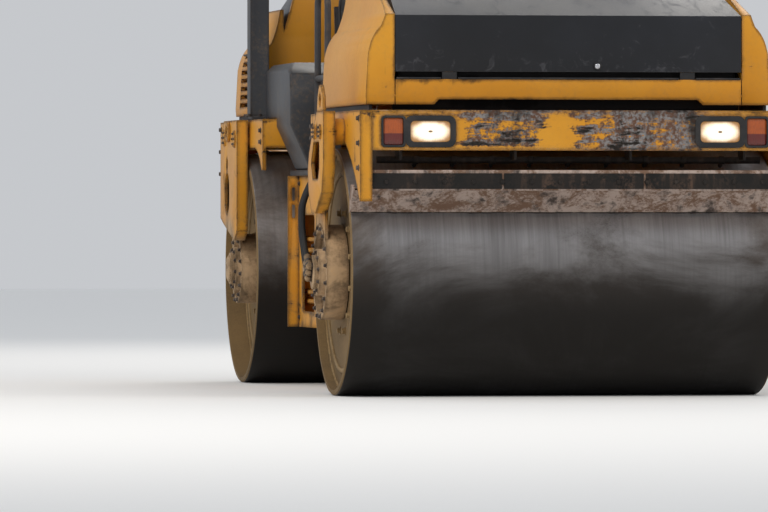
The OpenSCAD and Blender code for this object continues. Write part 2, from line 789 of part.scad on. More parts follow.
// One side's fairing from rear_u to the front; vent_len is the length of its ventilation slots, 0 for none
module fairing(rear_u, vent_len) intersection() {
  difference() {
    cross_profile(rear_u, hood_u) fairing_section();
    cross_profile(rear_u + hood_t, hood_u - hood_t) fairing_hollow();
    if (vent_len > 0) for (i = [0 : vent_n - 1]) {
      ubox([hood_x - hood_t - 25, rear_u + 100, hood_z + 70 + i * vent_step - vent_w],
           [hood_x + 10, rear_u + 100 + vent_len, hood_z + 70 + i * vent_step]);
    }
  }
  side_profile(0, hood_x + 10) polygon([
    [rear_u, hood_z], [hood_u, hood_z], [hood_u, brow_z + 5], [crest_u, hood_top + 5], [rear_u, hood_top + 5]
  ]);
}

// Hood shell with floor, front strip, sealing apron, rear wall with hinge knuckles, rubber feet and lid stops
module hood(rear_u, vent_len) {
  edge_x = lid_x + lid_gap + 1;
  both_sides() fairing(rear_u, vent_len);
  cross_profile(hood_u - hood_t, hood_u) polygon([
    [-lid_x, hood_z], [-lid_x + 190, hood_z], [-lid_x + 215, hood_z + 25], [lid_x - 215, hood_z + 25],
    [lid_x - 190, hood_z], [lid_x, hood_z], [lid_x, strip_top], [-lid_x, strip_top]
  ]);
  cross_profile(rear_u, rear_u + hood_t) polygon([
    [-edge_x, hood_z], [edge_x, hood_z], [edge_x, brow_z], [lid_x - 25, brow_z + 99], [lid_x - 60, hood_top],
    [-lid_x + 60, hood_top], [-lid_x + 25, brow_z + 99], [-edge_x, brow_z]
  ]);
  ubox([-edge_x - 1, rear_u + 1, floor_z], [edge_x + 1, hood_u - 1, floor_z + floor_t]);
  ubox([-edge_x - 1, hood_u - 90, frame_top + 2], [edge_x + 1, hood_u - 75, floor_z + 1]);
  ubox([-lid_x + 20, hood_u - 60, floor_z + 1], [lid_x - 20, hood_u - 50, lid_z + 40]);
  for (x = [-0.82 * lid_x, 0, 0.82 * lid_x], u = [rear_u + 110, hood_u - 150]) {
    translate([x, -u, frame_top]) cylinder(d = foot_d, h = floor_z - frame_top + 1);
  }
  for (x = [-stop_x, stop_x]) {
    ubox([x - 35, hood_u - 58, lid_z + 39], [x + 35, hood_u - 30, lid_z + 60]);
    ubox([x - 35, hood_u - hood_t + 4, strip_top - 1], [x + 35, hood_u - 4, lid_z - seat_gap]);
  }
  hinge_u = rear_u + lid_back - 2.5;
  for (x = [-hinge_x, hinge_x]) {
    for (s = [-1, 1]) {
      xbar(hinge_d, x + s * 42 - 15, x + s * 42 + 15, hinge_u, hinge_z);
      ubox([x + s * 42 - 15, rear_u + 2, hood_top - 1], [x + s * 42 + 15, hinge_u - 1, hinge_z + 3]);
    }
    xbar(hinge_pin_d, x - 62, x + 62, hinge_u, hinge_z);
  }
}

tank_x = lid_x - 97;
tank_top = hood_top - 100;

module water_tank() color("darkslategray") front_end() side_profile(-tank_x, 2 * tank_x) polygon([
  [front_rear_u + 80, floor_z + floor_t], [hood_u - 105, floor_z + floor_t], [hood_u - 105, brow_z - 65],
  [crest_u, tank_top], [front_rear_u + 80, tank_top]
]);

engine_x = lid_x - 297;

module engine_block() color("darkslategray") rear_end() side_profile(-engine_x, 2 * engine_x) polygon([
  [rear_rear_u + 90, floor_z + floor_t], [hood_u - 125, floor_z + floor_t], [hood_u - 125, brow_z - 85],
  [hood_u - 265, hood_top - 200], [rear_rear_u + 90, hood_top - 200]
]);

// Grille in the rear lid's face: columns of slots
grille_x = [-0.56 * lid_x, 0, 0.56 * lid_x];
grille_w = 0.48 * lid_x;
grille_n = 5;

module grille_slots() for (x = grille_x, i = [0 : grille_n - 1]) {
  ubox([x - grille_w / 2, hood_u - lid_t - 5, lid_z + 40 + i * vent_step],
       [x + grille_w / 2, hood_u + 1, lid_z + 40 + i * vent_step + vent_w]);
}

// Exhaust on the rear hood's inner wall: bracket, silencer, tail pipe with a slanted mouth
exhaust_x = 520;
silencer_d = 150;
pipe_d = 70;
pipe_top = hood_top + 230;

module exhaust() {
  u = rear_rear_u - silencer_d / 2 - 12;
  translate([exhaust_x, -u, 0]) {
    translate([0, 0, floor_z + 30]) cylinder(d = silencer_d, h = 420);
    difference() {
      translate([0, 0, floor_z + 449]) cylinder(d = pipe_d, h = pipe_top - floor_z - 449);
      translate([0, 0, floor_z + 470]) cylinder(d = pipe_d - 8, h = pipe_top);
      translate([0, 0, pipe_top - pipe_d / 2]) rotate([35, 0, 0]) {
        translate([-60, -80, 0]) cube([120, 160, 90]);
      }
    }
  }
  for (z = [floor_z + 90, floor_z + 370]) {
    ubox([exhaust_x - 30, u + silencer_d / 2 - 12, z], [exhaust_x + 30, rear_rear_u + 1, z + 20]);
  }
}

// Each end's own pieces

module front_left_arm() color(YELLOW) front_end() mirror([1, 0, 0]) drive_side_arm();
module front_right_arm() color(YELLOW) front_end() vibrator_side_arm();
module rear_right_arm() color(YELLOW) rear_end() mirror([1, 0, 0]) drive_side_arm();
module rear_left_arm() color(YELLOW) rear_end() vibrator_side_arm();
module front_lift_eyes() color(YELLOW) front_end() lift_eyes();
module rear_lift_eyes() color(YELLOW) rear_end() lift_eyes();
module front_hoses() color("black") front_end() mirror([1, 0, 0]) drive_hoses();
module rear_hoses() color("black") rear_end() mirror([1, 0, 0]) drive_hoses();
module front_bumper() color(YELLOW) front_end() bumper_beam();
module rear_bumper() color(YELLOW) rear_end() bumper_beam();
module front_lamp_frames() color("black") front_end() lamp_frames();
module rear_lamp_frames() color("black") rear_end() lamp_frames();
module front_headlamps() color("ivory") front_end() headlamps();
module rear_headlamps() color("ivory") rear_end() headlamps();
module front_markers() color("orangered") front_end() markers();
module rear_markers() color("orangered") rear_end() markers();
module front_scraper() color("sienna") front_end() scraper();
module rear_scraper() color("sienna") rear_end() scraper();
module front_spray_bar() color("black") front_end() spray_bar();
module rear_spray_bar() color("black") rear_end() spray_bar();
module front_hood() color(YELLOW) front_end() hood(front_rear_u, 0);
module rear_hood() color(YELLOW) rear_end() {
  hood(rear_rear_u, rear_hood_len - 260);
  exhaust();
}
module front_lid() color(BLACK) front_end() lid_shell(front_rear_u);
module rear_lid() color(BLACK) rear_end() difference() {
  lid_shell(rear_rear_u);
  grille_slots();
}
module front_drum() color(STEEL) front_end() drum();
module rear_drum() color(STEEL) rear_end() drum();

// Operator station, on the rear half, in the machine's own x and y

deck_z = frame_top - deck_drop;
deck_t = 30;
deck_low = deck_z - deck_t;
deck_x = rim_x - deck_inset;
deck_y = [-120, -420, -560, station_back + 90];
// The deck's notch round the rear gooseneck
deck_notch = [neck_x + 10, station_back - 150];
step_x = deck_x - 20;
step_wall = 12;
step_depth = 250;
step_y = [20, station_back - 80];
step_len = step_y[1] - step_y[0];
step_high = deck_low;
step_holes = [[deck_z - 480, deck_z - 235], [deck_z - 738, deck_z - 530]];
step_hole_y = [step_y[0] + 195, step_y[0] + 605];
rung_d = 24;
post_plate = [60, 14];

module operator_deck() color(YELLOW) {
  translate([0, 0, deck_low]) linear_extrude(deck_t) polygon([
    [-deck_x, deck_y[3]], [-deck_x, deck_y[0]], [-deck_x + 480, deck_y[1]], [-200, deck_y[2]],
    [200, deck_y[2]], [deck_x - 480, deck_y[1]], [deck_x, deck_y[0]], [deck_x, deck_y[3]],
    [deck_notch[0], deck_y[3]], deck_notch, [-deck_notch[0], deck_notch[1]], [-deck_notch[0], deck_y[3]]
  ]);
  // raised floor behind the seat, on the frame's inner cross member
  translate([-deck_x + 200, station_back, frame_top]) cube([2 * deck_x - 400, 540, 40]);
}

// The steps' box on the +X side, drawn in by g
module step_block(g) translate([step_x - step_depth + g, step_y[0] + g, step_low + g]) {
  cube([step_depth - 2 * g, step_len - 2 * g, step_high - step_low - 2 * g]);
}

// Rounded opening in the steps' outer panel, in (y, z)
module step_hole(z) round_rect(
  (step_hole_y[0] + step_hole_y[1]) / 2, (z[0] + z[1]) / 2, step_hole_y[1] - step_hole_y[0], z[1] - z[0], 30
);

// Steps on the +X side: box with two openings and their treads, and the slotted end plate behind it
module step_box() {
  difference() {
    step_block(0);
    step_block(step_wall);
    translate([step_x - step_wall - 1, 0, 0]) rotate([90, 0, 90]) linear_extrude(step_wall + 2) {
      for (z = step_holes) step_hole(z);
    }
  }
  for (z = step_holes, f = [0.25, 0.48]) {
    translate([step_x - 40, step_y[0] + step_wall - 1, z[0] + f * (z[1] - z[0])]) rotate([-90, 0, 0]) {
      cylinder(d = rung_d, h = step_len - 2 * step_wall + 2);
    }
  }
  translate([step_x - 1, step_y[1], step_low]) rotate([90, 0, 0]) linear_extrude(post_plate[1]) difference() {
    square([post_plate[0], step_high - step_low]);
    for (z = [570, 660]) slot(post_plate[0] / 2, z, z + 70, 16);
  }
}

module step_boxes() color(YELLOW) both_sides() step_box();

cabinet_x = [deck_x - 180, hood_x - 12];
cabinet_top = deck_z + 560;
post_y = [pivot_u + rear_rear_u - 170, pivot_u + rear_rear_u - 50];
post_x = rail_x - 45;
post_w = 100;

// Side panels beside the seat: a low part on the floor and a part on the frame back to the post
module side_cabinets() color(BLACK) both_sides() intersection() {
  translate([cabinet_x[0], 0, 0]) rotate([90, 0, 90]) linear_extrude(cabinet_x[1] - cabinet_x[0]) polygon([
    [station_back - 510, deck_z], [station_back - 8, deck_z], [station_back - 8, frame_top],
    [post_y[0] - 30, frame_top], [post_y[0] - 30, cabinet_top], [station_back - 330, cabinet_top],
    [station_back - 480, cabinet_top - 60], [station_back - 510, cabinet_top - 160]
  ]);
  translate([0, pivot_u, 0]) rotate([90, 0, 0]) linear_extrude(pivot_u) polygon([
    [0, deck_z], [deck_x - 15, deck_z], [cabinet_x[1], deck_z + 230], [cabinet_x[1], cabinet_top - 40],
    [cabinet_x[1] - 40, cabinet_top], [0, cabinet_top]
  ]);
}

seat_x = -430;
seat_y = station_back - 200;
seat_top = deck_z + 370;
back_t = 90;

// Seat's pedestal, pan, back shell and armrests
module seat_base() color(BLACK) {
  translate([seat_x - 190, seat_y - 220, deck_z]) cube([380, 260, 140]);
  for (i = [0 : 2]) translate([seat_x - 170, seat_y - 200, deck_z + 139 + i * 58]) {
    cube([340, 220, 60]);
    translate([-12, -12, 15]) cube([364, 244, 28]);
  }
  translate([seat_x - 230, seat_y - 220, seat_top - 60]) cube([460, 440, 60]);
  for (x = [seat_x - 285, seat_x + 245]) {
    translate([x, seat_y - 160, seat_top + 170]) cube([40, 340, 45]);
    translate([x, seat_y + 120, seat_top - 50]) cube([40, 60, 221]);
  }
  translate([seat_x - 285, seat_y + 120, seat_top - 55]) cube([570, 60, 50]);
  translate([seat_x - 120, seat_y + 200, seat_top - 60]) cube([240, 125, 40]);
  seat_back_place() translate([10, back_t + seat_gap, -60]) cube([440, 24, 560]);
}

// Places the backrest behind the cushion, leaning back
module seat_back_place() {
  translate([seat_x - 230, seat_y + 200 + seat_gap, seat_top + 20]) rotate([-10, 0, 0]) children();
}

module seat() color("black") {
  translate([seat_x - 235, seat_y - 250, seat_top]) cube([470, 450, 110]);
  seat_back_place() cube([460, back_t, 600]);
}

column_tilt = 25;
column_foot = [seat_x, -60, deck_z];
column_len = 780;
wheel_r = wheel_d / 2;
wheel_rim_d = 28;
wheel_stub_d = 30;

module along_column() translate(column_foot) rotate([-column_tilt, 0, 0]) children();

// Column with its boot, console and wheel bearing
module steering_column() color(BLACK) {
  difference() {
    along_column() {
      translate([0, 0, -60]) cylinder(d = 90, h = column_len + 60);
      translate([-150, -70, -80]) cube([300, 140, 260]);
      translate([-170, 0, column_len - 260]) rotate([90, 0, 90]) linear_extrude(340) polygon([
        [-60, 40], [40, 0], [80, 90], [80, 150], [-40, 200], [-60, 190]
      ]);
    }
    along_column() translate([0, 0, column_len - 60]) cylinder(d = wheel_stub_d + 2 * run_gap, h = 61);
    translate([column_foot[0] - 300, column_foot[1] - 300, deck_z - 300]) cube([600, 600, 300]);
  }
}

module steering_wheel() color("black") along_column() translate([0, 0, column_len]) {
  translate([0, 0, -55]) cylinder(d = wheel_stub_d, h = 60);
  translate([0, 0, 3]) cylinder(d = 90, h = 35);
  translate([0, 0, 30]) rotate_extrude($fn = 96) {
    translate([wheel_r - wheel_rim_d / 2, 0]) circle(d = wheel_rim_d);
  }
  for (a = [90, 210, 330]) rotate([0, 0, a]) {
    translate([20, -14, 22]) cube([wheel_r - wheel_rim_d - 14, 28, 10]);
  }
}

post_foot = 20;
roof_z = frame_top + cab_h;
roof_arm = [70, 60];

// Roll-over posts with their feet, cross tube and the arms under the roof
module roll_posts() color(BLACK) {
  both_sides() {
    translate([post_x - post_w / 2, post_y[0], frame_top + post_foot]) {
      cube([post_w, post_y[1] - post_y[0], roof_z - frame_top - post_foot]);
    }
    translate([post_x - post_w / 2 - 20, post_y[0] - 20, frame_top]) {
      cube([post_w + 15, post_y[1] - post_y[0] + 40, post_foot]);
    }
    translate([post_x - roof_arm[0] / 2, roof_y[0] + 250, roof_z - roof_arm[1]]) {
      cube([roof_arm[0], post_y[0] - roof_y[0] - 249, roof_arm[1]]);
    }
    translate([post_x - 10, 0, roof_z]) rotate([90, 0, 90]) linear_extrude(20) polygon([
      [post_y[0] + 1, -250], [post_y[0] + 1, -roof_arm[1] + 1], [post_y[0] - 200, -roof_arm[1] + 1]
    ]);
  }
  translate([-post_x + 1, post_y[0] + 20, roof_z - 80]) {
    cube([2 * post_x - 2, post_y[1] - post_y[0] - 40, 80]);
  }
}

roof_x = rim_x - 5;
roof_y = [-300, pivot_u - 40];
roof_round = 160;
roof_crown = 70;

// Outline of the roof drawn in by g
module roof_shape(g) {
  length = roof_y[1] - roof_y[0];
  round_rect(0, roof_y[0] + length / 2, 2 * (roof_x - g), length - 2 * g, roof_round - g);
}

module roof() color("dimgray") translate([0, 0, roof_z]) {
  linear_extrude(roof_t * 0.6) roof_shape(0);
  translate([0, 0, roof_t * 0.6 - 1]) linear_extrude(roof_t * 0.2 + 1) roof_shape(roof_crown / 3);
  linear_extrude(roof_t) roof_shape(roof_crown);
}

handrail_x = deck_x - 40;
handrail_y = [-110, 230];
handrail_top = deck_z + 920;
rail_bend = 90;

// Bent tube round the entrance on the +X side, with its lower bar
module handrail() translate([handrail_x, 0, 0]) {
  for (y = handrail_y) translate([0, y, deck_z]) cylinder(d = rail_d, h = handrail_top - rail_bend - deck_z);
  for (z = [handrail_top, deck_z + 470]) {
    short = z == handrail_top ? rail_bend : 0;
    translate([0, handrail_y[0] + short, z]) rotate([-90, 0, 0]) {
      cylinder(d = rail_d, h = handrail_y[1] - handrail_y[0] - 2 * short);
    }
  }
  translate([0, handrail_y[1] - rail_bend, handrail_top - rail_bend]) rotate([90, 0, 90]) {
    elbow(rail_bend, rail_d);
  }
  translate([0, handrail_y[0] + rail_bend, handrail_top - rail_bend]) rotate([90, 0, 90]) rotate([0, 0, 90]) {
    elbow(rail_bend, rail_d);
  }
}

module handrails() color(BLACK) both_sides() handrail();

front_frame();
front_left_arm();
front_right_arm();
front_lift_eyes();
front_bumper();
front_lamp_frames();
front_headlamps();
front_markers();
front_scraper();
front_spray_bar();
front_hood();
water_tank();
front_lid();
front_drum();
front_hoses();
pivot_link();
left_ram();
left_rod();
right_ram();
right_rod();
rear_frame();
rear_left_arm();
rear_right_arm();
rear_lift_eyes();
rear_bumper();
rear_lamp_frames();
rear_headlamps();
rear_markers();
rear_scraper();
rear_spray_bar();
rear_hood();
engine_block();
rear_lid();
rear_drum();
rear_hoses();
operator_deck();
step_boxes();
side_cabinets();
seat_base();
seat();
steering_column();
steering_wheel();
roll_posts();
roof();
handrails();
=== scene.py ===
"""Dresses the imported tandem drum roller: camera, light, worn finishes and the pieces that solids leave plain.

Everything is in metres in the machine's own frame: +Z up, the front end towards -Y, the ground at z = 0.
"""
import logging
import math
from dataclasses import dataclass
from enum import Enum
from typing import Any, Dict, List, Optional, Sequence, Tuple, Union

import bmesh
import bpy
import numpy as np
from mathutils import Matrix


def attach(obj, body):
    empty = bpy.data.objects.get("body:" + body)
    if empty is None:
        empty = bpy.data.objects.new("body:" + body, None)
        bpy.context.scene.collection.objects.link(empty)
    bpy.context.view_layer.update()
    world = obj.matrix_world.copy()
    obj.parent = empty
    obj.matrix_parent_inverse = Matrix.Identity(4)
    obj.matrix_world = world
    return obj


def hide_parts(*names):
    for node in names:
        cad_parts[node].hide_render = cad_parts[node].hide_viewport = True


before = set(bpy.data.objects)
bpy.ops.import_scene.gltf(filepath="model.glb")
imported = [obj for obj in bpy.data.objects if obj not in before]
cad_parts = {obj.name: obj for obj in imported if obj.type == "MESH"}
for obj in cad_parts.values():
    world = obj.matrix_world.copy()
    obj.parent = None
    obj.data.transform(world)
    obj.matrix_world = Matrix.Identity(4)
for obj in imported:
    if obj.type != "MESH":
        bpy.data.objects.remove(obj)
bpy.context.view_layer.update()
LOG = logging.getLogger("roller")

Colour = Tuple[float, float, float]
Point = Tuple[float, float, float]
Profile = Sequence[Tuple[float, float]]
Part = Tuple[np.ndarray, List[List[int]]]

DRUM_RADIUS = 0.61
WHEELBASE = 3.2
SIDES = (-1.0, 1.0)
X, Y, Z = (1.0, 0.0, 0.0), (0.0, 1.0, 0.0), (0.0, 0.0, 1.0)


class End(Enum):
    """The machine's two ends, each with its name, its body and the sign of its outward direction along Y."""

    FRONT = ("front", "front_half", -1.0)
    REAR = ("rear", "rear_half", 1.0)

    @property
    def label(self) -> str:
        """Name that the end's CAD nodes start with."""
        return self.value[0]

    @property
    def body(self) -> str:
        """Body that the end's fixed pieces ride on."""
        return self.value[1]

    @property
    def sense(self) -> float:
        """Sign of the end's outward direction along Y."""
        return self.value[2]

    def place(self, points: np.ndarray) -> np.ndarray:
        """Moves points drawn about the drum as (x, -u, z) to this end.

        Args:
            points: array of n by 3, metres, y towards the machine's middle.

        Returns:
            The same points in the machine's frame; the rear end is the front end turned half round.
        """
        moved = points + np.array([0.0, -WHEELBASE / 2, 0.0])
        return moved if self is End.FRONT else moved * np.array([-1.0, -1.0, 1.0])

    def at(self, x: float, u: float, z: float) -> Point:
        """A point given as x, distance u outwards from the drum's axis, and height."""
        return tuple(self.place(np.array([[x, -u, z]]))[0])

    def turn(self, x: float, u: float, z: float) -> Point:
        """A direction given in the same way."""
        return (x, -u, z) if self is End.FRONT else (-x, u, z)

    def placed(self, parts: Sequence[Part]) -> List[Part]:
        """Parts drawn about the drum, moved to this end."""
        return [(self.place(points), faces) for points, faces in parts]


class Scalar:
    """A number that varies over a surface. Arithmetic on it adds Math nodes to its material."""

    def __init__(self, graph: "Graph", socket: Any) -> None:
        """Wraps an output socket of a material's tree."""
        self.graph = graph
        self.socket = socket

    def _math(self, operation: str, *values: Union["Scalar", float]) -> "Scalar":
        """Adds one Math node and returns its result; with no values it takes this number."""
        node = self.graph.node("ShaderNodeMath", {"operation": operation}, dict(enumerate(values or (self,))))
        return Scalar(self.graph, node.outputs[0])

    def __add__(self, other: Union["Scalar", float]) -> "Scalar":
        """Sum."""
        return self._math("ADD", self, other)

    __radd__ = __add__

    def __sub__(self, other: Union["Scalar", float]) -> "Scalar":
        """Difference."""
        return self._math("SUBTRACT", self, other)

    def __rsub__(self, other: Union["Scalar", float]) -> "Scalar":
        """Difference with the number first."""
        return self._math("SUBTRACT", other, self)

    def __mul__(self, other: Union["Scalar", float]) -> "Scalar":
        """Product."""
        return self._math("MULTIPLY", self, other)

    __rmul__ = __mul__

    def __abs__(self) -> "Scalar":
        """Size without sign."""
        return self._math("ABSOLUTE", self)

    def biggest(self, other: Union["Scalar", float]) -> "Scalar":
        """The larger of the two."""
        return self._math("MAXIMUM", self, other)

    def root(self) -> "Scalar":
        """Square root."""
        return self._math("SQRT")

    def ramp(self, low: float, high: float) -> "Scalar":
        """Smooth step from 0 at low to 1 at high; high may lie below low."""
        start, stop = (0.0, 1.0) if high >= low else (1.0, 0.0)
        node = self.graph.node("ShaderNodeMapRange", {"interpolation_type": "SMOOTHSTEP"}, {
            0: self, 1: min(low, high), 2: max(low, high), 3: start, 4: stop})
        return Scalar(self.graph, node.outputs[0])


class Nodes:
    """A node tree and the one way in which nodes are added to it."""

    def __init__(self, tree: bpy.types.NodeTree) -> None:
        """Empties the tree."""
        self.tree = tree
        self.tree.nodes.clear()

    def node(self, kind: str, settings: Optional[Dict[str, Any]] = None,
             inputs: Optional[Dict[Any, Any]] = None) -> Any:
        """Adds a node.

        Args:
            kind: the node's type.
            settings: attributes, set first.
            inputs: socket name or index to a value, a Scalar or an output socket.

        Returns:
            The node.
        """
        node = self.tree.nodes.new(kind)
        for key, value in (settings or {}).items():
            setattr(node, key, value)
        for key, value in (inputs or {}).items():
            self.plug(node.inputs[key], value)
        return node

    def plug(self, target: Any, value: Any) -> None:
        """Sets an input socket to a value or links an output to it."""
        if isinstance(value, Scalar):
            value = value.socket
        if isinstance(value, bpy.types.NodeSocket):
            self.tree.links.new(value, target)
        else:
            target.default_value = value


class Graph(Nodes):
    """One material and the few ways in which this machine's finishes add nodes to it."""

    def __init__(self, name: str) -> None:
        """Makes a material with nothing but a Principled shader.

        Args:
            name: the material's name.
        """
        self.material = bpy.data.materials.new(name)
        self.material.use_nodes = True
        super().__init__(self.material.node_tree)
        self.shader = self.node("ShaderNodeBsdfPrincipled")
        self.node("ShaderNodeOutputMaterial", {}, {0: self.shader.outputs[0]})
        self.place = self.node("ShaderNodeTexCoord").outputs["Object"]

    def stretched(self, scale: Point, at: Any = None) -> Any:
        """Object coordinates multiplied by a scale for each axis."""
        return self.node("ShaderNodeMapping", {}, {"Vector": at or self.place, "Scale": scale}).outputs[0]

    def noise(self, scale: float, detail: float = 4.0, rough: float = 0.55, at: Any = None,
              distortion: float = 0.0) -> Scalar:
        """Fractal noise around 0.5, at so many features a metre."""
        node = self.node("ShaderNodeTexNoise", {"noise_dimensions": "3D"}, {
            "Vector": at or self.place, "Scale": scale, "Detail": detail, "Roughness": rough,
            "Distortion": distortion})
        return Scalar(self, node.outputs[0])

    def axis(self, index: int, at: Any = None) -> Scalar:
        """One coordinate of the surface point, 0 for x, 1 for y and 2 for z."""
        return Scalar(self, self.node("ShaderNodeSeparateXYZ", {}, {0: at or self.place}).outputs[index])

    def upward(self) -> Scalar:
        """The z of the surface's true normal: 1 where a face looks up, -1 where it looks down."""
        return self.axis(2, self.node("ShaderNodeNewGeometry").outputs["True Normal"])

    def edge(self, radius: float) -> Scalar:
        """0 on flat stretches and towards 1 within about a radius of a sharp edge.

        It is one minus the cosine between the surface's normal and the normal averaged over the radius, times
        a gain that brings a right angle's edge to about 1.
        """
        gain = 3.4
        soft = self.node("ShaderNodeBevel", {"samples": 4}, {"Radius": radius}).outputs[0]
        plain = self.node("ShaderNodeNewGeometry").outputs["Normal"]
        dot = self.node("ShaderNodeVectorMath", {"operation": "DOT_PRODUCT"}, {0: soft, 1: plain})
        return (1.0 - Scalar(self, dot.outputs["Value"])) * gain

    def mix(self, factor: Union[Scalar, float], low: Any, high: Any) -> Any:
        """Colour that goes from low to high as the factor goes from 0 to 1.

        Inputs 6 and 7 are the Mix node's two colours, and output 2 is the mixed one.
        """
        node = self.node("ShaderNodeMix", {"data_type": "RGBA"}, {0: factor, 6: rgba(low), 7: rgba(high)})
        return node.outputs[2]

    def bump(self, height: Scalar, depth: float) -> Any:
        """Normal bent by a height that is worth depth metres at 1."""
        bump = self.node("ShaderNodeBump", {}, {"Height": height, "Distance": depth, "Strength": 1.0})
        return bump.outputs[0]

    def surface(self, **sockets: Any) -> bpy.types.Material:
        """Fills the shader's sockets, named with underscores for spaces, and returns the material."""
        for name, value in sockets.items():
            self.plug(self.shader.inputs[name.replace("_", " ")], rgba(value))
        return self.material


def distance(across: Scalar, along: Scalar) -> Scalar:
    """Root of the sum of two squares."""
    return (across * across + along * along).root()


def rgba(value: Any) -> Any:
    """A three-number colour with alpha 1; anything else as it is."""
    return (*value, 1.0) if isinstance(value, tuple) and len(value) == 3 else value


@dataclass(frozen=True)
class Zone:
    """A stretch of paint from x_low to x_high and z_low to z_high that is worn more by an amount."""

    x_low: float
    x_high: float
    z_low: float
    z_high: float
    amount: float

    def mask(self, x: Scalar, z: Scalar) -> Scalar:
        """The amount inside the stretch, which fades out over 14 cm in x and 6 cm in z round it."""
        wide, tall = (0.09, 0.05), (0.04, 0.02)
        inside = (x.ramp(self.x_low - wide[0], self.x_low + wide[1])
                  * x.ramp(self.x_high + wide[0], self.x_high - wide[1]))
        inside = inside * z.ramp(self.z_low - tall[0], self.z_low + tall[1])
        return inside * z.ramp(self.z_high + tall[0], self.z_high - tall[1]) * self.amount


@dataclass(frozen=True)
class WornPaint:
    """Machine paint with grime, chips down to primer and bare steel, rust and dust.

    wear, grime and dust go from 0, none, to 1, heavy. scratch and smear say how far the zones chip and how
    far they blacken. hubs covers what lies near a drum's axis with tan dust. The flag for the gap and the
    exhaust paints shade, near black, on the hoods' strip behind the gap under their lids, and colours the
    exhaust, which is one node with the rear hood, as scaled dark steel.
    """

    name: str
    colour: Colour
    faded: Colour
    wear: float = 0.3
    grime: float = 0.4
    dust: float = 0.3
    roughness: float = 0.45
    metal: Colour = (0.17, 0.15, 0.145)
    rust: Colour = (0.115, 0.052, 0.028)
    dirt: Colour = (0.020, 0.016, 0.013)
    dust_colour: Colour = (0.27, 0.19, 0.105)
    zones: Tuple[Zone, ...] = ()
    scratch: float = 1.0
    smear: float = 0.6
    hubs: bool = False
    gap_shade_and_exhaust: bool = False

    def build(self) -> bpy.types.Material:
        """Makes the material.

        Returns:
            Paint whose chips follow the edges and a fractal threshold, with runs of dirt drawn out along Z.
        """
        g = Graph(self.name)
        edge = g.edge(0.030) * 2.0
        broad = g.noise(1.7, 5.0, 0.6)
        patch = g.noise(6.5, 6.0, 0.68, distortion=0.6)
        fine = g.noise(48.0, 5.0, 0.7)
        scrape = g.noise(11.0, 6.0, 0.72, at=g.stretched((0.35, 1.0, 2.4)), distortion=0.3)
        runs = g.noise(9.0, 4.0, 0.6, at=g.stretched((1.0, 1.0, 0.13)))
        x, y, z = g.axis(0), g.axis(1), g.axis(2)
        extra: Union[Scalar, float] = 0.0
        for zone in self.zones:
            extra = zone.mask(x, z) + extra
        paint = g.mix(broad.ramp(0.3, 0.75), self.colour, self.faded)
        paint = g.mix((fine * 0.6 + patch * 0.5).ramp(0.5, 0.85) * 0.35, paint, (0.30, 0.17, 0.06))
        rough_sum = fine * 1.3 + patch * 2.0 + scrape * 2.2 - 2.75
        chip = rough_sum + edge * 1.1 + extra * self.scratch - (0.98 - 0.55 * self.wear)
        bare = chip.ramp(0.0, 0.05)
        rim = chip.ramp(-0.16, 0.0) * (1.0 - bare)
        under = g.mix(fine.ramp(0.42, 0.6), self.metal, self.rust)
        under = g.mix((patch * 0.5 + scrape * 0.6).ramp(0.57, 0.64), under, self.dirt)
        up = g.upward()
        low = z.ramp(1.30, 0.45)
        soil = (runs * 2.0 + patch * 1.6 + edge * 0.7 + low * 0.22 - (2.55 - 0.6 * self.grime)
                + extra * self.smear)
        grime = soil.ramp(0.0, 0.55)
        settled = up.ramp(0.25, 0.9) * (fine * 0.5 + patch * 0.8).ramp(0.45, 0.9) * self.dust
        colour = g.mix(rim * 0.75, paint, self.rust)
        colour = g.mix(bare, colour, under)
        colour = g.mix(grime * 0.80, colour, self.dirt)
        colour = g.mix(settled.biggest(low * patch.ramp(0.35, 0.7) * 0.5 * self.dust), colour,
                       self.dust_colour)
        rough = self.roughness + grime * 0.25 + bare * 0.2 + fine * 0.14 - 0.05
        if self.gap_shade_and_exhaust:
            # painted shade: near black on what stands behind the gap under a lid
            painted_gap_shade = self._gap_shade_mask(x, y, z)
            colour = g.mix(painted_gap_shade, colour, (0.006, 0.005, 0.005))
            rough = rough + painted_gap_shade * 0.3
            scale = g.mix((patch * 0.6 + fine * 0.5).ramp(0.45, 0.68), (0.035, 0.026, 0.022),
                          (0.115, 0.058, 0.033))
            colour = g.mix(self._exhaust(x, y, z), colour, scale)
        if self.hubs:
            near = distance(abs(y) - WHEELBASE / 2, z - DRUM_RADIUS).ramp(0.34, 0.22)
            crust = g.mix((patch * 0.7 + fine * 0.4).ramp(0.45, 0.75), (0.48, 0.325, 0.185),
                          (0.22, 0.145, 0.080))
            crust = g.mix(grime * 0.45, crust, self.dirt)
            colour = g.mix(near * (patch * 0.8 + fine * 0.5).ramp(0.28, 0.55), colour, crust)
            rough = rough + near * 0.3
        height = fine * 0.25 - bare * 0.8 + broad * 0.4
        return g.surface(Base_Color=colour, Roughness=rough, Normal=g.bump(height, 0.0011),
                         Metallic=bare * fine.ramp(0.62, 0.5) * 0.6, Specular_IOR_Level=0.28)

    @staticmethod
    def _gap_shade_mask(x: Scalar, y: Scalar, z: Scalar) -> Scalar:
        """1 on what stands behind the gap under a lid, between its fairings, where the gap's shade is painted
        near black.
        """
        outer, inner, side, top = 2.224, 2.10, 0.8595, 1.645
        deep = abs(y).ramp(outer + 0.005, outer) * abs(y).ramp(inner - 0.01, inner)
        return deep * abs(x).ramp(side + 0.001, side) * z.ramp(top + 0.015, top)

    @staticmethod
    def _exhaust(x: Scalar, y: Scalar, z: Scalar) -> Scalar:
        """1 on the silencer and its pipe, whose axis stands at (-0.52, 1.333) over the ledge at 1.48 m."""
        axis_x, axis_y, radius, ledge = -0.52, 1.333, 0.081, 1.48
        inside = distance(x - axis_x, y - axis_y).ramp(radius + 0.002, radius - 0.002)
        return inside * z.ramp(ledge - 0.002, ledge + 0.002)


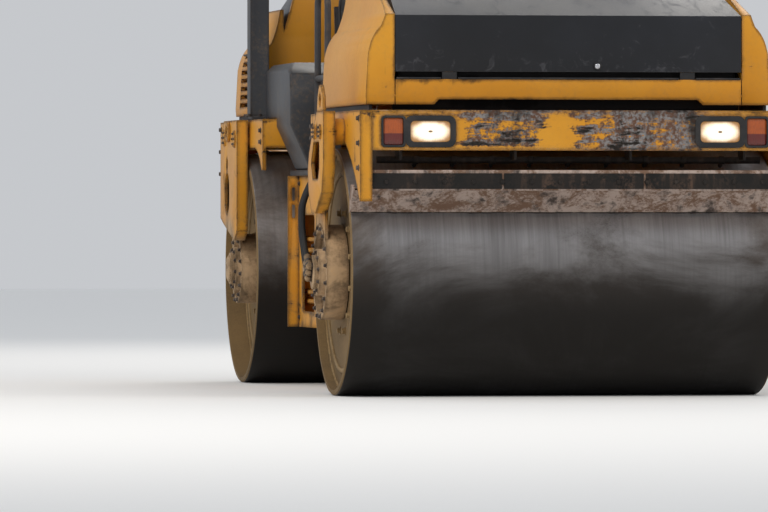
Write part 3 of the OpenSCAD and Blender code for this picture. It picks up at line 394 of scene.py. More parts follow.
@dataclass(frozen=True)
class MouldedBlack:
    """Satin black moulding with fine grain, faint scuffs and settled dust."""

    name: str
    colour: Colour = (0.0085, 0.009, 0.011)
    sheen: Colour = (0.024, 0.026, 0.034)
    roughness: float = 0.36
    dust: float = 0.35

    def build(self) -> bpy.types.Material:
        """Makes the material.

        Returns:
            Black whose scuffs are long scratches along Y and whose dust lies on faces that look up.
        """
        g = Graph(self.name)
        broad = g.noise(1.3, 4.0, 0.6)
        fine = g.noise(160.0, 3.0, 0.6)
        scuff = g.noise(14.0, 5.0, 0.7, at=g.stretched((1.0, 0.2, 1.0)), distortion=1.2)
        up = g.upward()
        colour = g.mix(broad.ramp(0.35, 0.75) * 0.5, self.colour, self.sheen)
        low = g.axis(2).ramp(1.74, 1.60)
        rubbed = (scuff * 2.4 + broad * 0.8 - 1.86 + low * 0.22).ramp(0.0, 0.4)
        colour = g.mix(rubbed * 0.38, colour, (0.095, 0.095, 0.105))
        dusty = up.ramp(0.3, 0.95) * (scuff * 0.6 + broad * 0.6).ramp(0.4, 0.95) * self.dust
        colour = g.mix(dusty, colour, (0.225, 0.225, 0.24))
        colour = g.mix(g.edge(0.006).ramp(0.5, 1.0) * 0.35, colour, (0.14, 0.13, 0.12))
        rough = self.roughness + scuff.ramp(0.5, 0.8) * 0.18 + dusty * 0.3 + fine * 0.05
        return g.surface(Base_Color=colour, Roughness=rough, Normal=g.bump(fine + broad * 2.0, 0.0003),
                         Specular_IOR_Level=0.3)


@dataclass(frozen=True)
class DrumSteel:
    """Rolled drum steel: polished along its middle, filmed with brown bitumen, streaked round the drum, and
    painted with shade below its axis.
    """

    name: str
    centre_y: float

    def build(self) -> bpy.types.Material:
        """Makes the material.

        Streaks and bands are noise drawn out round the drum. The film of bitumen is fractal noise that is
        stretched along x and grows towards the rims and below the axis, where it partly stands for painted
        shade.
        Below the axis, painted shade and a painted reflection of dark ground also take the steel nearly to
        black, lower its metal and darken the dust. The discs inside the rim are dusty.

        Returns:
            The material for a drum whose axis is at centre_y.
        """
        g = Graph(self.name)
        x = g.axis(0)
        middle = (0.0, -self.centre_y, -DRUM_RADIUS)
        about = g.node("ShaderNodeMapping", {}, {"Vector": g.place, "Location": middle}).outputs[0]
        y, z = g.axis(1, about), g.axis(2, about)
        radius = distance(y, z)
        streak = g.noise(70.0, 3.0, 0.6, at=g.stretched((1.0, 0.03, 0.03)))
        band = g.noise(4.0, 4.0, 0.6, at=g.stretched((1.0, 0.10, 0.10)))
        film = g.noise(2.2, 7.0, 0.66, at=g.stretched((0.6, 1.0, 1.0)), distortion=0.5)
        speck = g.noise(150.0, 3.0, 0.6)
        outer = radius.ramp(DRUM_RADIUS - 0.004, DRUM_RADIUS - 0.001)
        steel = g.mix((streak * 0.5 + band * 0.6).ramp(0.3, 0.85), (0.26, 0.245, 0.24), (0.48, 0.46, 0.455))
        # painted shade: 1 below the axis, where the drum's own shade and its reflection of dark ground are
        # painted into the colour
        low = z.ramp(0.34, -0.24)
        rims = abs(x).ramp(0.80, 1.02)
        # the film grows below the axis partly as painted shade
        film_and_shade_sum = film * 1.2 + band * 0.30 + streak * 0.14 + low * 0.42 + rims * 0.14 - 0.86
        film_and_shade_mask = film_and_shade_sum.ramp(0.0, 0.45)
        colour = g.mix(film_and_shade_mask * 0.90, steel, (0.036, 0.025, 0.018))
        colour = g.mix((film * 0.9 + rims * 0.25 - 0.42).ramp(0.1, 0.4) * 0.35, colour, (0.10, 0.062, 0.035))
        colour = g.mix((speck * film).ramp(0.3, 0.42) * 0.30, colour, (0.085, 0.060, 0.042))
        # painted shade: the lower half goes nearly black
        colour = g.mix(low * 0.92, colour, (0.006, 0.005, 0.004))
        dust = g.mix((film * 0.7 + speck * 0.4).ramp(0.35, 0.8), (0.27, 0.17, 0.07), (0.12, 0.08, 0.04))
        # painted shade on the discs' dust below the axis
        dust = g.mix(low * 0.25, dust, (0.06, 0.045, 0.03))
        colour = g.mix(outer, dust, colour)
        dull = 0.78
        rough = outer * (0.34 + film_and_shade_mask * 0.20 + streak * 0.08 - dull) + dull
        metal = outer * (0.72 - film_and_shade_mask * 0.42 - low * 0.28)
        height = streak * 0.30 + speck * 0.35 + film * 0.4
        return g.surface(Base_Color=colour, Roughness=rough, Metallic=metal, Normal=g.bump(height, 0.0004),
                         Specular_IOR_Level=0.2)


@dataclass(frozen=True)
class DirtySteel:
    """Bare steel that has rusted and been smeared with bitumen."""

    name: str
    rust: Colour = (0.27, 0.15, 0.10)
    pale: Colour = (0.42, 0.31, 0.26)
    dark: Colour = (0.03, 0.02, 0.016)
    dark_share: float = 0.4
    roughness: float = 0.62

    def build(self) -> bpy.types.Material:
        """Makes the material: rust in fractal patches, dark smears drawn out downwards."""
        g = Graph(self.name)
        patch = g.noise(7.0, 6.0, 0.68, distortion=0.7)
        fine = g.noise(70.0, 4.0, 0.7)
        runs = g.noise(16.0, 5.0, 0.6, at=g.stretched((1.0, 1.0, 0.15)))
        colour = g.mix((fine * 0.8 + patch * 1.8).ramp(1.10, 1.42), self.rust, self.pale)
        smear = (runs * 2.2 + patch * 1.8 - (2.45 - 0.9 * self.dark_share)).ramp(0.0, 0.5)
        colour = g.mix(smear * 0.92, colour, self.dark)
        colour = g.mix(g.edge(0.006).ramp(0.35, 0.9) * 0.35, colour, self.pale)
        rough = self.roughness + fine * 0.2 - smear * 0.15
        return g.surface(Base_Color=colour, Roughness=rough, Metallic=0.15,
                         Normal=g.bump(fine + patch, 0.0009), Specular_IOR_Level=0.25)


@dataclass(frozen=True)
class SoftBlack:
    """Rubber, hose or vinyl: dull black with a little dust."""

    name: str
    colour: Colour = (0.016, 0.016, 0.017)
    dusty: Colour = (0.12, 0.10, 0.085)
    grain: float = 220.0
    roughness: float = 0.6
    dust: float = 0.35

    def build(self) -> bpy.types.Material:
        """Makes the material: fractal grain, and dust where a broad noise is high and the face looks up."""
        g = Graph(self.name)
        fine = g.noise(self.grain, 3.0, 0.6)
        patch = g.noise(9.0, 5.0, 0.65)
        up = g.upward().ramp(-0.6, 0.9)
        mask = patch.ramp(0.42, 0.75) * (0.35 + up * 0.65) * self.dust
        colour = g.mix(mask, self.colour, self.dusty)
        return g.surface(Base_Color=colour, Roughness=self.roughness + patch * 0.2 - 0.1,
                         Normal=g.bump(fine, 0.0004), Specular_IOR_Level=0.3)


@dataclass(frozen=True)
class Lens:
    """A lit or coloured lamp lens with moulded ribs; glow is its own light's strength."""

    name: str
    colour: Colour
    lower: Colour
    glow: float = 0.0
    split_z: float = 0.0
    bulb: Tuple[float, float] = (0.715, 1.296)

    def build(self) -> bpy.types.Material:
        """Makes the material: the colour changes at split_z, and ribs run up the lens.

        A lit lens is brightest round its bulb, whose place is given by the size of x and by z, and dims
        outwards with the elliptic distance r, which is 1 at the middle of the lens's sides.
        """
        g = Graph(self.name)
        ribs = Scalar(g, g.node("ShaderNodeTexWave", {"wave_type": "BANDS", "bands_direction": "X"}, {
            "Vector": g.place, "Scale": 26.0, "Distortion": 0.0}).outputs["Fac"])
        fine = g.noise(30.0, 3.0, 0.6)
        blur = 0.003
        colour = g.mix(g.axis(2).ramp(self.split_z + blur, self.split_z - blur), self.colour, self.lower)
        colour = g.mix(fine.ramp(0.45, 0.8) * 0.35, colour, (0.06, 0.03, 0.02))
        if self.glow:
            per_half_width, per_half_height = 10.2, 19.6
            r = distance((abs(g.axis(0)) - self.bulb[0]) * per_half_width,
                         (g.axis(2) - self.bulb[1]) * per_half_height)
            colour = g.mix((r + fine * 0.3).ramp(0.75, 1.3), self.colour, (0.30, 0.155, 0.06))
            colour = g.mix(r.ramp(0.13, 0.09), colour, (0.16, 0.11, 0.07))
            return g.surface(Base_Color=colour, Roughness=0.18, Normal=g.bump(ribs, 0.0008),
                             Emission_Color=colour, Emission_Strength=self.glow)
        return g.surface(Base_Color=colour, Roughness=0.18 + fine * 0.1, Normal=g.bump(ribs, 0.0008))


def outward(points: np.ndarray, faces: Sequence[Sequence[int]]) -> List[List[int]]:
    """Faces of a closed surface, turned round if its signed volume is negative.

    The signed volume is a sixth of the sum, over each face's fan of triangles, of the triple product of the
    triangle's corners.
    """
    volume = 0.0
    by_size: Dict[int, List[Sequence[int]]] = {}
    for face in faces:
        by_size.setdefault(len(face), []).append(face)
    for size, group in by_size.items():
        corners = points[np.array(group, int)]
        for k in range(1, size - 1):
            volume += float(np.einsum("ij,ij->", corners[:, 0], np.cross(corners[:, k], corners[:, k + 1])))
    step = 1 if volume >= 0.0 else -1
    return [list(map(int, face))[::step] for face in faces]


def mesh_object(name: str, points: np.ndarray, faces: Sequence[Sequence[int]], smooth: bool = True,
                closed: bool = True) -> bpy.types.Object:
    """Puts a mesh into the scene.

    Args:
        name: the piece's name.
        points: array of n by 3, metres.
        faces: vertex indices of each face, all in the same sense.
        smooth: whether faces are shaded smooth.
        closed: whether the surface is closed, so that its faces can be made to point outwards.

    Returns:
        The new object, at the origin.
    """
    mesh = bpy.data.meshes.new(name)
    points = np.asarray(points, float)
    turned_faces = outward(points, faces) if closed else [list(map(int, face)) for face in faces]
    mesh.from_pydata(points.tolist(), [], turned_faces)
    mesh.polygons.foreach_set("use_smooth", np.full(len(mesh.polygons), smooth))
    mesh.update()
    piece = bpy.data.objects.new(name, mesh)
    bpy.context.scene.collection.objects.link(piece)
    return piece


def dress(piece: bpy.types.Object, material: bpy.types.Material) -> bpy.types.Object:
    """Gives a piece one material all over and returns the piece."""
    piece.data.materials.clear()
    piece.data.materials.append(material)
    return piece


def bevelled(piece: bpy.types.Object, width: float, segments: int = 2,
             angle: float = 30.0) -> bpy.types.Object:
    """Rounds a piece's edges that turn by more than an angle, and returns the piece."""
    bevel = piece.modifiers.new("edge_rounding", "BEVEL")
    bevel.width = width
    bevel.segments = segments
    bevel.limit_method = "ANGLE"
    bevel.angle_limit = math.radians(angle)
    bevel.harden_normals = True
    piece.data.polygons.foreach_set("use_smooth", np.ones(len(piece.data.polygons), bool))
    return piece


def softened(node: str, width: float) -> bpy.types.Object:
    """A copy of a CAD node with rounded edges, which stands for the node.

    Args:
        node: the CAD node's name.
        width: distance that each sharp edge is drawn in, metres.

    Returns:
        The copy: loose triangles merged, flat stretches made one face, creases of 10 to 30 degrees kept
        sharp.
    """
    shape = bmesh.new()
    shape.from_mesh(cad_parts[node].data)
    same_point, flat_degrees, crease_degrees = 2e-5, 0.6, (10.0, 30.0)
    bmesh.ops.remove_doubles(shape, verts=shape.verts, dist=same_point)
    bmesh.ops.dissolve_limit(shape, angle_limit=math.radians(flat_degrees), verts=shape.verts,
                             edges=shape.edges)
    for edge in shape.edges:
        turn = math.degrees(edge.calc_face_angle(0.0))
        edge.smooth = not crease_degrees[0] < turn < crease_degrees[1]
    mesh = bpy.data.meshes.new(node + "_soft")
    shape.to_mesh(mesh)
    shape.free()
    piece = bpy.data.objects.new(node + "_soft", mesh)
    bpy.context.scene.collection.objects.link(piece)
    bevelled(piece, width)
    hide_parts(node)
    return piece


def grid_faces(rows: int, columns: int, closed_rows: bool, closed_columns: bool) -> np.ndarray:
    """Quads of a grid of points stored row by row.

    Args:
        rows: number of rows of points.
        columns: number of points in a row.
        closed_rows: whether the last row joins the first.
        closed_columns: whether a row's last point joins its first.

    Returns:
        Array of n by 4 indices; each quad goes along a row first, then to the next row.
    """
    r = np.arange(rows if closed_rows else rows - 1)[:, None]
    c = np.arange(columns if closed_columns else columns - 1)[None, :]
    r_next, c_next = (r + 1) % rows, (c + 1) % columns
    quads = [r * columns + c, r * columns + c_next, r_next * columns + c_next, r_next * columns + c]
    return np.stack([np.broadcast_to(q, (r.size, c.size)).ravel() for q in quads], axis=1)


def turned_points(profile: np.ndarray, centre: Point, axis: str, count: int) -> np.ndarray:
    """Points of a closed profile turned round an axis.

    Point (i, j) is the centre plus profile[j, 0] along the axis plus profile[j, 1] times the radial direction
    at angle 2 pi i / count.

    Args:
        profile: array of m by 2, distance along the axis and radius.
        centre: a point on the axis.
        axis: "x", "y" or "z".
        count: number of copies of the profile round the axis.

    Returns:
        Array of count * m by 3.
    """
    along = "xyz".index(axis)
    first, second = (along + 1) % 3, (along + 2) % 3
    angle = np.linspace(0.0, 2.0 * math.pi, count, endpoint=False)[:, None]
    points = np.zeros((count, len(profile), 3))
    points[..., along] = profile[None, :, 0]
    points[..., first] = profile[None, :, 1] * np.cos(angle)
    points[..., second] = profile[None, :, 1] * np.sin(angle)
    return points.reshape(-1, 3) + np.array(centre)


def turned(name: str, profile: Profile, centre: Point, axis: str = "x",
           count: int = 48) -> bpy.types.Object:
    """A ring or shell turned from a closed profile of (distance along the axis, radius above zero)."""
    outline = np.array(profile, float)
    points = turned_points(outline, centre, axis, count)
    return mesh_object(name, points, grid_faces(count, len(outline), True, True))


def frames(path: np.ndarray, hint: Point) -> Tuple[np.ndarray, np.ndarray]:
    """Two unit directions square to a path at each of its points.

    The first is the tangent crossed with the hint, and the second the first crossed with the tangent.
    """
    tangent = np.gradient(path, axis=0)
    tangent /= np.linalg.norm(tangent, axis=1)[:, None]
    side = np.cross(tangent, np.array(hint, float))
    side /= np.linalg.norm(side, axis=1)[:, None]
    return side, np.cross(side, tangent)


def swept_arrays(path: np.ndarray, profile: np.ndarray, hint: Point,
                 scale: Union[float, np.ndarray] = 1.0) -> Part:
    """Points and faces of a closed profile carried along an open path.

    Point (i, j) is path[i] + scale[i] * (profile[j, 0] * side[i] + profile[j, 1] * up[i]), with a cap at each
    end.
    """
    side, up = frames(path, hint)
    size = np.broadcast_to(np.asarray(scale, float), (len(path),))[:, None, None]
    points = path[:, None] + size * (profile[None, :, :1] * side[:, None]
                                     + profile[None, :, 1:] * up[:, None])
    count = len(profile)
    faces = grid_faces(len(path), count, False, True).tolist()
    faces.append(list(range(count))[::-1])
    faces.append([(len(path) - 1) * count + k for k in range(count)])
    return points.reshape(-1, 3), faces


def swept(name: str, path: Sequence[Point], profile: np.ndarray, hint: Point = (0.0, 0.0, 1.0),
          scale: Union[float, np.ndarray] = 1.0) -> bpy.types.Object:
    """A closed profile carried along an open path, with caps, as one piece."""
    points, faces = swept_arrays(np.array(path, float), profile, hint, scale)
    return mesh_object(name, points, faces)


def circle(radius: float, sides: int, start: float = 0.0) -> np.ndarray:
    """Points of a circle as an array of sides by 2, from an angle in degrees."""
    angle = np.radians(start) + np.linspace(0.0, 2.0 * math.pi, sides, endpoint=False)
    return radius * np.stack([np.cos(angle), np.sin(angle)], axis=1)


def smooth_path(points: Sequence[Point], steps: int = 8) -> np.ndarray:
    """Catmull-Rom curve through the points with so many steps between each two.

    At t from 0 to 1 between b and c, with neighbours a and d, it is half of 2b + (c - a)t + (2a - 5b + 4c -
    d)t² + (3b - a - 3c + d)t³.
    """
    p = np.array(points, float)
    a, b, c, d = (p[np.clip(np.arange(len(p) - 1) + k, 0, len(p) - 1)][:, None] for k in (-1, 0, 1, 2))
    t = np.linspace(0.0, 1.0, steps, endpoint=False)[None, :, None]
    curve = (2 * b + (c - a) * t + (2 * a - 5 * b + 4 * c - d) * t ** 2
             + (3 * b - a - 3 * c + d) * t ** 3) / 2
    return np.concatenate([curve.reshape(-1, 3), p[-1:]])


def hermite(a: np.ndarray, leaving: np.ndarray, b: np.ndarray, arriving: np.ndarray,
            count: int) -> np.ndarray:
    """Cubic curve from a to b with given derivatives at its ends, as so many points without b.

    At t from 0 to 1 and s = 1 - t it is s²((1 + 2t)a + t leaving) + t²((3 - 2t)b - s arriving).
    """
    t = np.linspace(0.0, 1.0, count, endpoint=False)[:, None]
    s = 1.0 - t
    return s * s * ((1 + 2 * t) * a + t * leaving) + t * t * ((3 - 2 * t) * b - s * arriving)


def straight(start: Point, end: Point, steps: int) -> np.ndarray:
    """Points from start to end in equal steps, both included."""
    return np.linspace(np.array(start, float), np.array(end, float), steps + 1)


def joined(name: str, parts: Sequence[Part],
           smooth: bool = True) -> bpy.types.Object:
    """One piece from several closed parts, each given as its points and its faces."""
    points: List[np.ndarray] = []
    faces: List[List[int]] = []
    start = 0
    for part_points, part_faces in parts:
        part_points = np.asarray(part_points, float)
        faces += [[index + start for index in face] for face in outward(part_points, part_faces)]
        points.append(part_points)
        start += len(part_points)
    return mesh_object(name, np.concatenate(points), faces, smooth, closed=False)


def block_arrays(corner: Point, opposite: Point) -> Part:
    """Points and faces of a box between two opposite corners, for parts that are bevelled after joining."""
    low, high = np.minimum(corner, opposite), np.maximum(corner, opposite)
    corners = np.array([[x, y, z] for z in (low[2], high[2]) for x, y in
                        ((low[0], low[1]), (high[0], low[1]), (high[0], high[1]), (low[0], high[1]))], float)
    return corners, [[3, 2, 1, 0], [4, 5, 6, 7], [0, 1, 5, 4], [1, 2, 6, 5], [2, 3, 7, 6], [3, 0, 4, 7]]


def prism_arrays(outline: np.ndarray, low: float, high: float, axis: str) -> Part:
    """Points and faces of an outline carried from low to high along an axis.

    The outline's columns are the two other coordinates in the order x, y, z.
    """
    along = "xyz".index(axis)
    rest = [k for k in range(3) if k != along]
    count = len(outline)
    points = np.zeros((2, count, 3))
    points[:, :, rest] = outline
    points[0, :, along] = low
    points[1, :, along] = high
    faces = grid_faces(2, count, False, True).tolist()
    return points.reshape(-1, 3), faces + [list(range(count))[::-1], list(range(count, 2 * count))]


def hex_heads(name: str, centres: Sequence[Point], normals: Sequence[Point], across: float,
              height: float) -> bpy.types.Object:
    """Bolt heads with washers, all in one piece.

    Each head is a ladder of rings about its normal: washer foot, washer top, six-sided shank, six-sided
    shoulder and chamfered crown. Ring k has radius r[k] at height h[k], and the corners lie at multiples of
    30 degrees.

    Args:
        name: the piece's name.
        centres: where each head's axis meets its seat.
        normals: the direction in which each head stands, or one for all.
        across: the head's width over its corners, metres.
        height: the head's height, metres.

    Returns:
        The new object.
    """
    centre = np.array(centres, float).reshape(-1, 1, 1, 3)
    normal = np.broadcast_to(np.array(normals, float).reshape(-1, 3), (centre.shape[0], 3)).copy()
    normal /= np.linalg.norm(normal, axis=1)[:, None]
    hint = np.where(np.abs(normal[:, 2:]) > 0.9, np.array([X]), np.array([Z]))
    side = np.cross(normal, hint)
    side /= np.linalg.norm(side, axis=1)[:, None]
    up = np.cross(normal, side)
    radius = across / 2 * np.array([1.32, 1.32, 1.0, 1.0, 0.86, 0.30])[:, None]
    rise = height * np.array([-0.05, 0.22, 0.221, 0.85, 1.0, 1.02])[:, None]
    rings, sides, round_rings = 6, 12, 2
    angle = np.linspace(0.0, 2.0 * math.pi, sides, endpoint=False)[None, :]
    flat = np.cos(math.pi / 6) / np.cos((angle % (math.pi / 3)) - math.pi / 6)
    shape = np.where(np.arange(rings)[:, None] < round_rings, 1.0, flat)
    ring_x, ring_y = radius * shape * np.cos(angle), radius * shape * np.sin(angle)
    along = np.broadcast_to(rise, ring_x.shape)
    points = (centre + ring_x[None, ..., None] * side[:, None, None]
              + ring_y[None, ..., None] * up[:, None, None]
              + along[None, ..., None] * normal[:, None, None])
    foot, crown = list(range(sides))[::-1], list(range((rings - 1) * sides, rings * sides))
    one = grid_faces(rings, sides, False, True).tolist() + [foot, crown]
    return joined(name, [(p.reshape(-1, 3), one) for p in points], smooth=False)


def weld_arrays(path: np.ndarray, radius: float, hint: Point) -> Part:
    """Points and faces of a weld bead: a low tube whose radius swells and sinks along the path.

    At distance d along it the radius is multiplied by 1 + 0.14 sin(2 pi d / 7 mm) + 0.08 sin(61 d).
    """
    pitch = 0.007
    steps = np.linalg.norm(np.diff(path, axis=0), axis=1)
    run = np.concatenate([[0.0], np.cumsum(steps)])
    count = max(8, int(run[-1] / (pitch / 2)))
    at = np.linspace(0.0, run[-1], count)
    fine = np.stack([np.interp(at, run, path[:, k]) for k in range(3)], axis=1)
    ripple = 1.0 + 0.14 * np.sin(at * 2.0 * math.pi / pitch) + 0.08 * np.sin(at * 61.0)
    return swept_arrays(fine, circle(radius, 6), hint, ripple)


def ride_as(piece: bpy.types.Object, body: str, material: bpy.types.Material) -> bpy.types.Object:
    """Dresses a piece, puts it on a body, logs where it rides, and returns it."""
    dress(piece, material)
    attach(piece, body)
    LOG.info("%s rides on %s", piece.name, body)
    return piece


@dataclass
class DrumTrim:
    """What turns with a drum: bolts on its discs, weld beads in its rims and the disc's stiffening rib."""

    end: End
    finishes: "Finishes"
    drive_disc: float = 1.015
    vibrator_disc: float = 0.955
    drive_circle: float = 0.30
    vibrator_circle: float = 0.29
    drive_bolts: int = 12
    vibrator_bolts: int = 16
    rim: float = 0.582
    rib: float = 0.475

    def build(self) -> None:
        """Adds the rings of both discs and the bolts."""
        body = self.end.label + "_drum"
        steel = self.finishes.disc_steel
        spots, normals = [], []
        for sign, side, disc, radius, count in (
                (-1.0, "drive", self.drive_disc, self.drive_circle, self.drive_bolts),
                (1.0, "vibrator", self.vibrator_disc, self.vibrator_circle, self.vibrator_bolts)):
            for u, z in circle(radius, count, 15.0):
                spots.append(self.end.at(sign * disc, u, DRUM_RADIUS + z))
                normals.append(self.end.turn(sign, 0.0, 0.0))
            for word, profile in (("rim_weld", self._bead()), ("disc_rib", self._rib())):
                outline = [(-self.end.sense * sign * (disc + out), reach) for out, reach in profile]
                piece = turned("%s_%s_%s" % (self.end.label, side, word), outline,
                               self.end.at(0.0, 0.0, DRUM_RADIUS), "x", 96)
                ride_as(piece, body, steel)
        heads = hex_heads(self.end.label + "_disc_bolts", spots, normals, across=0.030, height=0.018)
        ride_as(heads, body, steel)

    def _bead(self) -> Profile:
        """Section of the weld in the corner of disc and rim, as (distance out of the disc, radius)."""
        return ((-0.002, self.rim + 0.001), (-0.002, self.rim - 0.012), (0.004, self.rim - 0.009),
                (0.010, self.rim + 0.001))

    def _rib(self) -> Profile:
        """Section of the pressed rib, given in the same way."""
        return ((-0.002, self.rib), (0.009, self.rib + 0.003), (0.009, self.rib + 0.022),
                (-0.002, self.rib + 0.025))


@dataclass(frozen=True)
class ArmSide:
    """Sizes that differ between an end's drive arm and its vibrator arm, in metres.

    inner is the arm's inner face, hub the radius of its hub ring, bosses the places (u, z) of its two boss
    tubes and cap the radius of their caps.
    """

    sign: float
    label: str
    inner: float
    hub: float
    bosses: Tuple[Tuple[float, float], Tuple[float, float]]
    cap: float


@dataclass
class ArmTrim:
    """Fasteners and covers on an end's two yoke arms."""

    end: End
    finishes: "Finishes"
    drive: ArmSide = ArmSide(-1.0, "drive", 1.115, 0.235, ((0.31, 1.30), (0.13, 1.30)), 0.037)
    vibrator: ArmSide = ArmSide(1.0, "vibrator", 1.073, 0.185, ((0.14, 1.31), (-0.23, 1.30)), 0.046)
    depth: float = 0.060
    plate: float = 0.016
    cap_rise: float = 0.009

    def build(self) -> None:
        """Adds hub bolts, the hub's cover, boss caps and weld beads."""
        for side in (self.drive, self.vibrator):
            self._hub(side)
            if side is self.vibrator:
                self._cover()
            self._caps(side)
            self._weld(side)

    def _name(self, side: ArmSide, word: str) -> str:
        """Name of a piece on one of the two arms."""
        return "%s_%s_%s" % (self.end.label, side.label, word)

    def _add(self, piece: bpy.types.Object, material: bpy.types.Material) -> None:
        """Puts a piece on the end's body as a part of the painted arm."""
        ride_as(piece, self.end.body, material)

    def _hub(self, side: ArmSide) -> None:
        """Bolts round the hub ring and round the motor housing."""
        rows = ((side.hub - 0.015, side.inner + self.plate, 16, 0.019),
                (0.100, side.inner + self.depth - 0.026, 10, 0.017))
        for row, (radius, face, count, across) in enumerate(rows):
            spots = [self.end.at(side.sign * face, u, DRUM_RADIUS + z) for u, z in circle(radius, count, 9.0)]
            heads = hex_heads(self._name(side, "hub_bolts_%d" % row), spots,
                              [self.end.turn(side.sign, 0.0, 0.0)], across, height=across * 0.7)
            self._add(heads, self.finishes.bolt)

    def _cover(self) -> None:
        """Domed cover on the vibrator side's housing."""
        face, radius = self.vibrator.inner + self.depth - 0.006, 0.074
        profile = ((-0.003, 0.002), (-0.003, radius), (0.006, radius - 0.002), (0.013, radius - 0.014),
                   (0.016, radius - 0.034), (0.016, 0.002))
        outline = [(-self.end.sense * (face + out), reach) for out, reach in profile]
        cover = turned(self.end.label + "_hub_cover", outline, self.end.at(0.0, 0.0, DRUM_RADIUS), "x", 48)
        self._add(bevelled(cover, 0.002), self.finishes.frame_yellow)

    def _caps(self, side: ArmSide) -> None:
        """Round caps over the boss tubes, each with a ring of small screws."""
        face, radius, rise = side.inner + self.depth, side.cap, self.cap_rise
        profile = ((-0.004, 0.002), (-0.004, radius), (0.006, radius), (rise, radius - 0.004), (rise, 0.002))
        outline = [(-self.end.sense * side.sign * (face + out), reach) for out, reach in profile]
        spots = []
        for number, (u, z) in enumerate(side.bosses):
            cap = turned(self._name(side, "boss_cap_%d" % number), outline, self.end.at(0.0, u, z), "x", 40)
            self._add(cap, self.finishes.frame_yellow)
            spots += [self.end.at(side.sign * (face + rise), u + du, z + dz)
                      for du, dz in circle(radius * 0.68, 6)]
        heads = hex_heads(self._name(side, "boss_bolts"), spots, [self.end.turn(side.sign, 0.0, 0.0)],
                          across=0.011, height=0.007)
        self._add(heads, self.finishes.bolt)

    def _weld(self, side: ArmSide) -> None:
        """Weld bead over the top of the hub ring, where it meets the arm's plate."""
        angle = np.radians(np.linspace(-50.0, 230.0, 90))
        top = angle[(angle > math.radians(52)) & (angle < math.radians(128))]
        radius, face = side.hub + 0.002, side.sign * (side.inner + self.plate)
        path = np.array([self.end.at(face, radius * math.cos(a), DRUM_RADIUS + radius * math.sin(a))
                         for a in top])
        bead = joined(self._name(side, "hub_weld"), [weld_arrays(path, 0.005, X)])
        self._add(bead, self.finishes.frame_yellow)


@dataclass(frozen=True)
class LensShape:
    """Place and size of an end's two lenses of one kind, in metres; corner is the radius of their corners."""

    x: float
    width: float
    height: float
    corner: float


